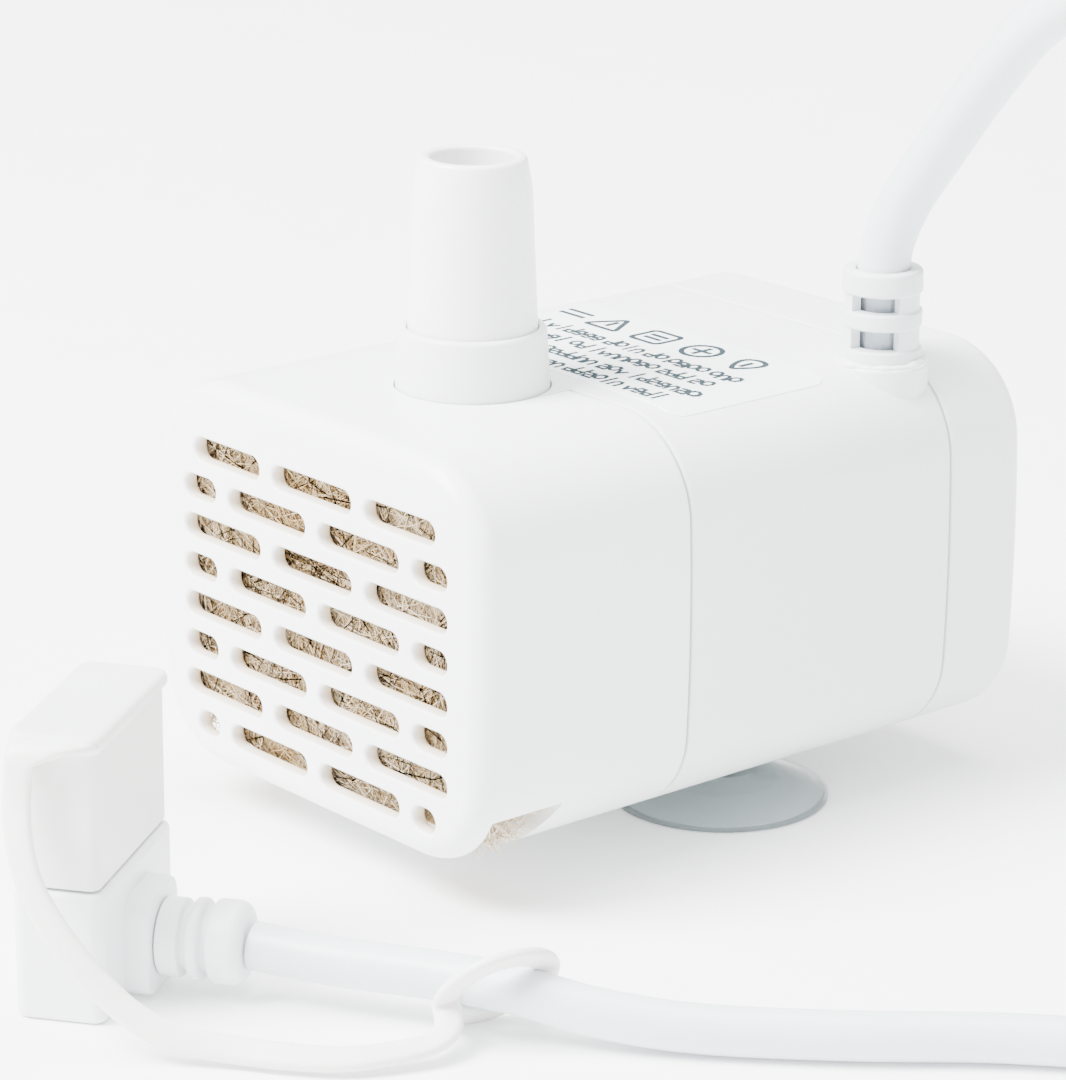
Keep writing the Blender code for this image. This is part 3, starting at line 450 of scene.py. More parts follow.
@dataclass(frozen=True)
class Finish:
    """A surface: two colours, a pattern between them, its relief and its gloss."""

    name: str
    colour: Colour
    second: Colour
    roughness: float = 0.4
    pattern: Pattern = Pattern.GRAIN
    cells: float = 3200.0
    stretch: Point = (1.0, 1.0, 1.0)
    relief: float = 0.03 * MM
    strength: float = 0.2
    gloss_spread: float = 0.12
    metallic: float = 0.0
    # painted bounce light: the filter pad's tan glow on the slot walls
    painted_bounce: tuple[float, ...] = ()
    constants: tuple[tuple[str, float], ...] = ()

    def texture(self, graph: Graph) -> Value:
        """Lay the pattern over the object.

        Args:
            graph: the material's nodes.

        Returns:
            A value from 0 to 1.
        """
        if self.pattern is Pattern.STRANDS:
            return graph.node("ShaderNodeAttribute", {"attribute_name": "tint"}, output="Fac")
        if self.pattern is Pattern.TURNS:
            where = graph.node("ShaderNodeTexCoord", output="Object")
            where = graph.node("ShaderNodeMapping", None, {"Vector": where, "Scale": self.stretch})
            return graph.node("ShaderNodeTexWave", {"bands_direction": "X"}, {
                "Vector": where, "Scale": self.cells, "Distortion": 0.35, "Detail": 1.0,
                "Detail Scale": 2.0}, output=1)
        if self.pattern is Pattern.SPECKLE or self.pattern is Pattern.TRACKS:
            where = graph.node("ShaderNodeTexCoord", output="Object")
            metric = "CHEBYCHEV" if self.pattern is Pattern.TRACKS else "EUCLIDEAN"
            return graph.node("ShaderNodeTexVoronoi", {"distance": metric}, {
                "Vector": where, "Scale": self.cells})
        detail = 1.0 if self.pattern is Pattern.BRUSHED else 3.0
        return graph.noise(self.cells, self.stretch, detail=detail)

    def add_painted_bounce(self, graph: Graph, colour: Value) -> Value:
        """The colour with a painted warm bounce light past a depth along y, inside an oval about
        the y axis.

        The oval is 1 - (x / a)^6 - ((z - z0) / b)^6; the six numbers hold the face's y,
        the depth over which the tint grows, a, b, z0 and the tint's weight. The tint is painted
        light: the tan glow that the filter pad throws on the grille's slot walls.

        Args:
            graph: the material's nodes.
            colour: the clean colour.

        Returns:
            The colour with the painted bounce light.
        """
        face, depth, half_x, half_z, middle, weight = self.painted_bounce
        place = graph.node("ShaderNodeTexCoord", output="Object")
        x, y, z = (graph.node("ShaderNodeSeparateXYZ", None, {"Vector": place}, output=axis)
                   for axis in "XYZ")
        inward = ((y - face) * (1 / depth) - 0.12).clamped()
        across, rise = x * (1 / half_x), (z - middle) * (1 / half_z)
        across, rise = across * across, rise * rise
        inside = ((1.0 - across * across * across - rise * rise * rise) * 6.0).clamped()
        # the filter pad's tan, painted on as bounce light
        return graph.mixed(inward * inside * weight, colour, (0.80, 0.62, 0.38, 1.0))

    def material(self) -> bpy.types.Material:
        """Build the material.

        Returns:
            A material whose colour, gloss and relief follow the pattern.
        """
        graph = Graph(self.name)
        texture = self.texture(graph)
        cloud = graph.noise(90.0, detail=2.0)
        blend = (texture * 0.7 + (cloud - 0.5) * 0.9).clamped()
        colour = graph.mixed(blend, (*self.colour, 1.0), (*self.second, 1.0))
        # paint the filter pad's bounce light onto the slot walls
        if self.painted_bounce:
            colour = self.add_painted_bounce(graph, colour)
        rough = (self.roughness + (texture - 0.5) * self.gloss_spread
                 + (cloud - 0.5) * self.gloss_spread).clamped()
        height = texture + graph.noise(420.0, detail=1.0) * 0.35
        bump = graph.node("ShaderNodeBump", None, {
            "Strength": self.strength, "Distance": self.relief, "Height": height})
        graph.feed(graph.shader.inputs["Base Color"], colour)
        graph.feed(graph.shader.inputs["Roughness"], rough)
        graph.feed(graph.shader.inputs["Normal"], bump)
        graph.shader.inputs["Metallic"].default_value = self.metallic
        for socket, value in self.constants:
            graph.shader.inputs[socket].default_value = value
        return graph.material


FINISHES: dict[str, Finish] = {
    "case": Finish("case white", (0.785, 0.80, 0.795), (0.825, 0.84, 0.835), 0.42,
                   cells=3600.0, relief=0.05 * MM, strength=0.34),
    "cover": Finish("cover white", (0.855, 0.87, 0.87), (0.885, 0.90, 0.90), 0.36,
                    cells=2400.0, relief=0.03 * MM, strength=0.12,
                    # painted warm bounce light from the filter pad on the slot walls
                    painted_bounce=(-27.75 * MM, 0.8 * MM, 17.6 * MM, 14.4 * MM, 19.0 * MM, 0.6)),
    "nozzle": Finish("outlet white", (0.83, 0.85, 0.835), (0.87, 0.885, 0.87), 0.28,
                     cells=900.0, relief=0.006 * MM, strength=0.05),
    "filter": Finish("filter fibre", (0.58, 0.39, 0.17), (0.95, 0.89, 0.74), 0.7,
                     Pattern.STRANDS, relief=0.04 * MM, strength=0.3),
    "filter_core": Finish("filter core", (0.60, 0.42, 0.21), (0.84, 0.66, 0.40), 0.95,
                          cells=1800.0, stretch=(0.4, 1.0, 1.6), relief=0.5 * MM,
                          strength=0.9),
    "label": Finish("label film", (0.87, 0.90, 0.92), (0.92, 0.94, 0.95), 0.30,
                    cells=1500.0, relief=0.02 * MM, strength=0.08),
    "ink": Finish("label ink", (0.020, 0.034, 0.040), (0.04, 0.06, 0.07), 0.8,
                  cells=6000.0, relief=0.01 * MM, strength=0.1,
                  constants=(("Specular IOR Level", 0.1),)),
    "cup": Finish("clear vinyl", (0.56, 0.64, 0.65), (0.64, 0.71, 0.72), 0.16,
                  cells=700.0, relief=0.05 * MM, strength=0.15,
                  constants=(("Transmission Weight", 0.82), ("IOR", 1.42))),
    "steel": Finish("lamination steel", (0.30, 0.31, 0.33), (0.52, 0.53, 0.55), 0.38,
                    Pattern.TURNS, cells=320.0, stretch=(0.0, 1.0, 0.0), relief=0.1 * MM,
                    strength=0.6, metallic=1.0),
    "copper": Finish("winding copper", (0.42, 0.16, 0.06), (0.80, 0.40, 0.20), 0.32,
                     Pattern.TURNS, cells=900.0, stretch=(1.0, 0.0, 0.0), relief=0.12 * MM,
                     strength=0.9, metallic=1.0),
    "bobbin": Finish("bobbin nylon", (0.66, 0.65, 0.58), (0.78, 0.77, 0.71), 0.5),
    "magnet": Finish("ferrite", (0.035, 0.035, 0.04), (0.085, 0.085, 0.095), 0.55,
                     Pattern.SPECKLE, cells=2600.0, relief=0.05 * MM, strength=0.5),
    "ceramic": Finish("ceramic", (0.78, 0.78, 0.75), (0.90, 0.90, 0.87), 0.18,
                      Pattern.BRUSHED, cells=2200.0, stretch=(1.0, 0.05, 1.0),
                      relief=0.01 * MM),
    "rubber": Finish("black rubber", (0.018, 0.018, 0.02), (0.04, 0.04, 0.042), 0.68,
                     cells=2600.0, strength=0.4),
    "impeller": Finish("impeller blue", (0.13, 0.27, 0.52), (0.18, 0.34, 0.60), 0.36),
    "board": Finish("board green", (0.03, 0.16, 0.07), (0.07, 0.30, 0.14), 0.35,
                    Pattern.TRACKS, cells=520.0, relief=0.03 * MM, strength=0.5),
    "chip": Finish("chip black", (0.02, 0.02, 0.022), (0.05, 0.05, 0.052), 0.5,
                   Pattern.SPECKLE, cells=9000.0, strength=0.4),
    "can": Finish("capacitor can", (0.62, 0.62, 0.64), (0.80, 0.80, 0.82), 0.28,
                  Pattern.BRUSHED, cells=3000.0, stretch=(1.0, 0.1, 1.0), metallic=1.0),
    "red": Finish("lead red", (0.50, 0.035, 0.025), (0.62, 0.06, 0.045), 0.42),
    "black": Finish("lead black", (0.02, 0.02, 0.02), (0.045, 0.045, 0.045), 0.42),
    "resin": Finish("potting resin", (0.055, 0.05, 0.045), (0.10, 0.09, 0.085), 0.16,
                    cells=300.0, relief=0.3 * MM, strength=0.5),
    "gland": Finish("gland white", (0.68, 0.71, 0.72), (0.76, 0.785, 0.79), 0.42,
                    cells=2000.0, relief=0.05 * MM, strength=0.3),
    # the cap's body: greyer for the steel under it, and darker with painted shade
    "cap_body_shade": Finish("cap over steel with painted shade", (0.77, 0.79, 0.755), (0.84, 0.86, 0.825), 0.34,
                       cells=500.0, relief=0.04 * MM, strength=0.12,
                       constants=(("Transmission Weight", 0.1), ("IOR", 1.4))),
    # painted shade: a darker copy of the cord finish for the cord inside the gland
    "shaded_cord": Finish("cord in shade", (0.40, 0.44, 0.50), (0.47, 0.51, 0.57), 0.5,
                         cells=1500.0, relief=0.05 * MM, strength=0.16),
    "cord": Finish("cord jacket", (0.66, 0.70, 0.73), (0.73, 0.765, 0.79), 0.36,
                   cells=1500.0, relief=0.05 * MM, strength=0.16),
    "plug": Finish("plug white", (0.79, 0.81, 0.825), (0.84, 0.855, 0.865), 0.36,
                   cells=2600.0, relief=0.03 * MM, strength=0.16),
    "usb_steel": Finish("plug steel", (0.48, 0.49, 0.50), (0.66, 0.67, 0.68), 0.30,
                        Pattern.BRUSHED, cells=2600.0, stretch=(1.0, 1.0, 0.05),
                        relief=0.02 * MM, strength=0.3, metallic=1.0),
    "tongue": Finish("tongue white", (0.76, 0.76, 0.76), (0.84, 0.84, 0.84), 0.45),
    "gold": Finish("contact gold", (0.72, 0.50, 0.17), (0.86, 0.66, 0.30), 0.24,
                   Pattern.BRUSHED, cells=3000.0, stretch=(1.0, 1.0, 0.08), metallic=1.0),
    "cap": Finish("cap milky", (0.86, 0.88, 0.86), (0.91, 0.925, 0.91), 0.34,
                  cells=800.0, relief=0.04 * MM, strength=0.12,
                  constants=(("Transmission Weight", 0.14), ("IOR", 1.4),
                             ("Subsurface Weight", 0.3), ("Subsurface Scale", 0.001))),
    "tie": Finish("tie wrap", (0.03, 0.03, 0.032), (0.07, 0.07, 0.072), 0.55,
                  cells=2600.0, relief=0.06 * MM, strength=0.5),
    "glue": Finish("weld bead", (0.80, 0.815, 0.80), (0.87, 0.88, 0.865), 0.22,
                   cells=700.0, relief=0.12 * MM, strength=0.5,
                   constants=(("Subsurface Weight", 0.25), ("Subsurface Scale", 0.0012))),
    "floor": Finish("studio floor", (0.93, 0.93, 0.93), (0.95, 0.95, 0.95), 0.6,
                    cells=60.0, relief=0.02 * MM, strength=0.02,
                    constants=(("Emission Strength", 0.4),)),
}

# the cord inside the gland takes the darker copy of its finish: painted shade
FINISH_OF_NODE = {"cord_in_gland": "shaded_cord"}


class Workshop:
    """Makes each finish once, and dresses and mounts the pieces."""

    def __init__(self) -> None:
        """Start with no finish made."""
        self._made: dict[str, bpy.types.Material] = {}

    def finish(self, key: str) -> bpy.types.Material:
        """Give the material of a finish, built when first asked for.

        Args:
            key: the finish.

        Returns:
            The material.
        """
        if key not in self._made:
            self._made[key] = FINISHES[key].material()
        return self._made[key]

    def dress(self, piece: bpy.types.Object, key: str, body: str, replaces: Sequence[str] = (),
              sharp: float = 32.0, weighted: bool = True) -> bpy.types.Object:
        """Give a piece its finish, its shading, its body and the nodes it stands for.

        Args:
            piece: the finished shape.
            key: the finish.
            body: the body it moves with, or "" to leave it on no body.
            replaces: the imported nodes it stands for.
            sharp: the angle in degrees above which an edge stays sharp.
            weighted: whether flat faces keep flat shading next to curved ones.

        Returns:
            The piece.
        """
        piece.data.materials.clear()
        piece.data.materials.append(self.finish(key))
        if piece.type == "MESH":
            piece.data.shade_smooth()
            piece.data.set_sharp_from_angle(angle=math.radians(sharp))
            if weighted:
                modifier = piece.modifiers.new("even_normals", "WEIGHTED_NORMAL")
                modifier.keep_sharp = True
                modifier.weight = 80
        if body:
            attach(piece, body)
        if replaces:
            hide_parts(*replaces)
        log.info("%s: %s on %s", piece.name, key, body or "two bodies")
        return piece

    def redress_nodes(self, nodes: Sequence[str]) -> None:
        """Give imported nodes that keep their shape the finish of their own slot.

        Args:
            nodes: the nodes' names.
        """
        slots = {part["node"]: part["material_slot"] for part in frame["record"]["subparts"]}
        for node in nodes:
            mesh = frame["nodes"][node].data
            mesh.materials.clear()
            mesh.materials.append(self.finish(FINISH_OF_NODE.get(node, slots[node])))
            log.info("%s: %s", node, slots[node])


# --- places ---------------------------------------------------------------------------
@dataclass(frozen=True)
class Case:
    """The case's envelope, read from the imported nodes, and its moulding sizes."""

    front: float
    seam: float
    back: float
    base: float
    top: float
    half_width: float = 19.9 * MM
    corner: float = 7.0 * MM
    bulge: float = 0.7 * MM
    edge: float = 1.8 * MM
    wall: float = 1.6 * MM
    break_edge: float = 0.16 * MM

    @classmethod
    def from_frame(cls) -> "Case":
        """Read the envelope from the boxes of the shells.

        Returns:
            The case.
        """
        cover_low, cover_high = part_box("front_cover")
        return cls(front=cover_low.y, seam=cover_high.y, back=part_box("rear_cover")[1].y,
                   base=cover_low.z, top=cover_high.z)

    @property
    def axis_z(self) -> float:
        """Height of the rotor's axis, half way up the case."""
        return (self.base + self.top) / 2

    def rings(self, stations: Sequence[tuple[float, float]], arc: int = 14,
              side: int = 16) -> np.ndarray:
        """Case outlines at (y, inset) stations.

        A rounded rectangle less the inset, its upright sides bowed out by the
        bulge times (1 - (z / half height)^2).

        Args:
            stations: (y, inset) pairs.
            arc: spans in each corner.
            side: spans along each side.

        Returns:
            Points shaped (stations, count, 3).
        """
        y, inset = np.asarray(stations, float).T
        half_z = (self.top - self.base) / 2
        flat = rounded_rectangle(self.half_width - self.bulge - inset, half_z - inset,
                                 self.corner - inset, arc, side)
        x, z = flat[..., 0], flat[..., 1]
        x = x + np.sign(x) * self.bulge * (1 - (z / half_z) ** 2)
        return np.stack([x, np.broadcast_to(y[:, None], x.shape), z + self.axis_z], axis=-1)

    def height_at(self, x: np.ndarray) -> np.ndarray:
        """Height of the case's top at x: flat, then down the corner's quarter circle."""
        past = np.maximum(x - (self.half_width - self.bulge - self.corner), 0.0)
        return self.top - self.corner + np.sqrt(np.maximum(self.corner ** 2 - past ** 2, 0.0))

    def round_end(self, end: float, inward: int, steps: int = 10) -> list[tuple[float, float]]:
        """Quarter round from an end face to the full outline.

        Args:
            end: the end face's y.
            inward: the direction into the case, 1 or -1.
            steps: how many spans it has.

        Returns:
            (y, inset) stations.
        """
        angle = np.linspace(0, np.pi / 2, steps + 1)
        y = end + inward * self.edge * (1 - np.cos(angle))
        return list(zip(y.tolist(), (self.edge * (1 - np.sin(angle))).tolist()))

    def lip_to(self, seam: float, inward: int) -> list[tuple[float, float]]:
        """End a shell at a seam with a small broken edge.

        Args:
            seam: the seam's y.
            inward: the direction into the shell, 1 or -1.

        Returns:
            (y, inset) stations, the full outline first.
        """
        e = self.break_edge
        return [(seam + inward * 2.5 * e, 0.0), (seam + inward * e, 0.0),
                (seam + inward * 0.3 * e, 0.3 * e), (seam, e)]


@dataclass(frozen=True)
class Collar:
    """The round outlet socket on top of the pump head."""

    y: float
    top: float
    radius: float = 5.86 * MM
    top_radius: float = 5.58 * MM
    socket: float = 5.0 * MM

    @classmethod
    def from_frame(cls) -> "Collar":
        """Read the collar's place from the outlet stub and the head."""
        low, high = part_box("outlet_nozzle")
        return cls(y=(low.y + high.y) / 2, top=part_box("pump_head")[1].z - 0.5 * MM)


# --- front cover ------------------------------------------------------------------------
@dataclass
class FrontCover:
    """The grille cover: rows of round-ended slots, finger notches and the collar's way out."""

    case: Case
    collar: Collar
    shop: Workshop
    plate: float = 1.35 * MM
    pitch: float = 11.1 * MM
    slot: float = 9.5 * MM
    slot_height: float = 1.85 * MM
    row_pitch: float = 3.15 * MM
    rows: int = 8
    middle_z: float = 17.95 * MM
    corner_trim: float = 1.35 * MM
    fillet: float = 0.28 * MM

    def slot_spans(self) -> list[tuple[float, float, float]]:
        """Place the slots: rows of three, and rows of two between two short ones.

        Returns:
            (low x, high x, z) of every slot.
        """
        reach = self.pitch + self.slot / 2
        gap = self.pitch - self.slot
        spans = []
        for row in range(self.rows):
            z = self.middle_z + self.row_pitch * ((self.rows - 1) / 2 - row)
            trim = self.corner_trim if row in (0, self.rows - 1) else 0.0
            if row % 2 == 0:
                ends = [(k * self.pitch - self.slot / 2, k * self.pitch + self.slot / 2)
                        for k in (-1, 0, 1)]
            else:
                inner = self.pitch / 2 + self.slot / 2
                ends = [(-reach, -inner - gap), (-inner, -gap / 2), (gap / 2, inner),
                        (inner + gap, reach)]
            ends[0] = (ends[0][0] + trim, ends[0][1])
            ends[-1] = (ends[-1][0], ends[-1][1] - trim)
            spans += [(low, high, z) for low, high in ends]
        return spans

    def slot_cutter(self, low: float, high: float, z: float) -> np.ndarray:
        """One slot's cutter, flared at both faces so that its edges come out rounded.

        At depth d under a face the outline grows by f - sqrt(f^2 - (f - d)^2),
        where f is the fillet.

        Args:
            low: the slot's low x.
            high: its high x.
            z: its height.

        Returns:
            Rings shaped (rows, columns, 3).
        """
        f = self.fillet
        turn = np.linspace(0, np.pi / 2, 5)
        depth = np.concatenate([[-0.3 * MM], f * (1 - np.cos(turn)),
                                self.plate - f * (1 - np.cos(turn[::-1])),
                                [self.plate + 0.3 * MM]])
        grow = np.concatenate([[f], f * (1 - np.sin(turn)), f * (1 - np.sin(turn[::-1])), [f]])
        radius = self.slot_height / 2 + grow
        flat = rounded_rectangle((high - low) / 2 + grow, radius, radius * 0.9999, 8, 2)
        return np.stack([flat[..., 0] + (low + high) / 2,
                         np.broadcast_to(self.case.front + depth[:, None], flat.shape[:2]),
                         flat[..., 1] + z], axis=-1)

    def notch_cutter(self, side: int) -> bpy.types.Object:
        """Make the undercut behind the plate at one lower corner.

        Args:
            side: the corner's side, -1 or 1.

        Returns:
            The cutter.
        """
        front = self.case.front
        outline = np.array([(front + 1.7 * MM, 8.0 * MM), (front + 8.5 * MM, 8.0 * MM),
                            (front + 7.0 * MM, 5.7 * MM), (front + 6.4 * MM, 3.0 * MM),
                            (front + 1.7 * MM, 3.0 * MM)])
        outline = softened(outline, [0.1 * MM, 0.4 * MM, 0.5 * MM, 0.0, 0.0], closed=True)
        rings = [np.column_stack([np.full(len(outline), side * x), outline])
                 for x in (10 * MM, 22 * MM)]
        return skin(f"notch_{side}", np.stack(rings))

    def build(self) -> bpy.types.Object:
        """Build the cover.

        Returns:
            The cover.
        """
        case, half = self.case, self.collar.radius + 0.14 * MM
        stations = (case.round_end(case.front, 1) + case.lip_to(case.seam, -1)
                    + [(case.seam, case.wall), (case.front + self.plate, case.wall)])
        cover = skin("intake_cover", case.rings(stations))
        slots = np.stack([self.slot_cutter(*span) for span in self.slot_spans()])
        cut(cover, stack("slots", slots))
        cut(cover, self.notch_cutter(-1), self.notch_cutter(1))
        centre = (0.0, self.collar.y, 0.0)
        cut(cover, skin("collar_round", turned([(half, case.top - 3 * MM), (half, case.top + MM)],
                                               centre=centre)),
            skin("collar_way", block((-half, self.collar.y, case.top - 3 * MM),
                                     (half, case.seam + MM, case.top + MM))))
        return self.shop.dress(cover, "cover", "cover", ["front_cover"])


def stack(name: str, shapes: np.ndarray, tint: np.ndarray | None = None) -> bpy.types.Object:
    """Make one object of many capped shapes of equal size.

    Args:
        name: the object's name.
        shapes: points shaped (shapes, rows, columns, 3).
        tint: one value for each shape.

    Returns:
        The object, each shape a closed shell of its own.
    """
    count, rows, columns = shapes.shape[:3]
    size = rows * columns
    offset = (np.arange(count) * size)[:, None, None]
    quads = (grid_faces(rows, columns)[None] + offset).reshape(-1, 4).tolist()
    ends = np.stack([np.arange(columns), np.arange(size - columns, size)])
    caps = (ends[None] + offset).reshape(-1, columns).tolist()
    shades = None if tint is None else np.repeat(tint, size)
    return solid(name, shapes.reshape(-1, 3), quads + caps, shades)


# --- shells ----------------------------------------------------------------------------
@dataclass
class Shells:
    """The main housing with its rotor well and lip, and the rear cover."""

    case: Case
    collar: Collar
    shop: Workshop
    lip_outer: float = 1.75 * MM
    lip_inner: float = 2.45 * MM
    lip_reach: float = 1.65 * MM
    well: float = 5.0 * MM
    well_wall: float = 1.1 * MM
    well_end: float = 12.0 * MM
    boss_radius: float = 3.75 * MM
    stud: float = 3.6 * MM
    cup_neck: float = 1.9 * MM
    cup_button: float = 2.7 * MM

    def gland_hole(self) -> bpy.types.Object:
        """Make the cutter for the hole that the strain relief stands in.

        Returns:
            The cutter.
        """
        low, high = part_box("strain_relief")
        radius = (high.x - low.x) / 2 + 0.05 * MM
        ends = [(radius, self.case.top - 9 * MM), (radius, self.case.top + 2 * MM)]
        return skin("gland_hole", turned(ends, centre=foot_of("strain_relief")))

    def gland_boss(self, back: float) -> bpy.types.Object:
        """Make the low round boss that fills in the case's edge under the strain relief.

        Args:
            back: the housing's back face.

        Returns:
            The boss.
        """
        top = self.case.top
        profile = softened([(0.0, top - 3.6 * MM), (self.boss_radius, top - 3.6 * MM),
                            (self.boss_radius, top - 0.04 * MM), (0.0, top - 0.04 * MM)],
                           [0.0, 0.1 * MM, 0.4 * MM, 0.0])
        raised = skin("gland_boss", turned(profile, centre=foot_of("strain_relief")))
        trim = block((5 * MM, back - 6 * MM, top - 8 * MM),
                     (19 * MM, back - 0.05 * MM, top + 2 * MM))
        boolean(raised, "INTERSECT", skin("boss_trim", trim))
        return raised

    def housing(self) -> bpy.types.Object:
        """Build the main housing: bowed shell, lip, tongue, well, studs and their pockets.

        Returns:
            The housing.
        """
        case, axis = self.case, (0.0, 0.0, self.case.axis_z)
        front = case.seam + 0.2 * MM
        back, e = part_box("main_housing")[1].y, case.break_edge
        stations = [(front, self.lip_inner), (front - self.lip_reach, self.lip_inner),
                    (front - self.lip_reach, self.lip_outer + 0.2 * MM),
                    (front - self.lip_reach + 0.2 * MM, self.lip_outer),
                    (front, self.lip_outer), (front, e), (front + 0.3 * e, 0.3 * e),
                    (front + e, 0.0), (front + 2.5 * e, 0.0), (back - 2.5 * e, 0.0),
                    (back - e, 0.0), (back - 0.3 * e, 0.3 * e), (back, e), (back, case.wall),
                    (front + 2.2 * MM, case.wall)]
        shell = skin("motor_housing", case.rings(stations))
        half = self.collar.radius + 0.05 * MM
        well = turned([(self.well + self.well_wall, front + 0.5 * MM),
                       (self.well + self.well_wall, self.well_end)], "Y", axis)
        additions = [skin("tongue", block((-half, self.collar.y, case.top - case.wall),
                                          (half, front + MM, case.top))), skin("well", well)]
        cups = {side: foot_of(f"suction_cup_{side}") for side in ("left", "right")}
        for side, cup in cups.items():
            additions.append(skin(f"stud_{side}", turned(
                [(self.stud, case.base + 0.8 * MM), (self.stud, 6.85 * MM)], centre=cup)))
        weld(shell, *additions, self.gland_boss(back))
        bore = turned([(self.well, front - 3 * MM), (self.well, 8.2 * MM),
                       (2.4 * MM, 8.2 * MM), (2.4 * MM, 10.9 * MM)], "Y", axis)
        groove = turned([(11.0 * MM, front - MM), (12.2 * MM, front - MM),
                         (12.2 * MM, front + 0.8 * MM), (11.0 * MM, front + 0.8 * MM)], "Y", axis)
        gate = block((-6.7 * MM, front - 3 * MM, case.axis_z + 8 * MM),
                     (6.7 * MM, front, case.top - case.wall - 0.1 * MM))
        round_half = self.collar.radius + 0.14 * MM
        clearance = turned([(round_half, case.top - 3 * MM), (round_half, case.top + MM)],
                           centre=(0.0, self.collar.y, 0.0))
        cutters = [skin("well_bore", bore), skin("seal_groove", groove, closed=True),
                   skin("lip_gate", gate), skin("collar_clearance", clearance),
                   self.gland_hole()]
        for side, cup in cups.items():
            cutters.append(skin(f"pocket_{side}", turned(
                [(self.cup_neck, 3.0 * MM), (self.cup_neck, 4.7 * MM),
                 (self.cup_button, 4.7 * MM), (self.cup_button, 6.45 * MM)], centre=cup)))
        cut(shell, *cutters)
        return self.shop.dress(shell, "case", "pump", ["main_housing"])

    def rear(self) -> bpy.types.Object:
        """Build the rear cover: a shallow cup with a spigot and a round back edge.

        Returns:
            The cover.
        """
        case, e = self.case, self.case.break_edge
        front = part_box("rear_cover")[0].y + 2.0 * MM
        stations = ([(case.back - case.edge, self.lip_inner),
                     (front - 2.0 * MM, self.lip_inner), (front - 2.0 * MM, self.lip_outer),
                     (front, self.lip_outer), (front, e), (front + 0.3 * e, 0.3 * e),
                     (front + e, 0.0), (front + 2.5 * e, 0.0)]
                    + case.round_end(case.back, -1)[::-1])
        cover = skin("end_cover", case.rings(stations))
        cut(cover, self.gland_hole())
        return self.shop.dress(cover, "case", "pump", ["rear_cover"])


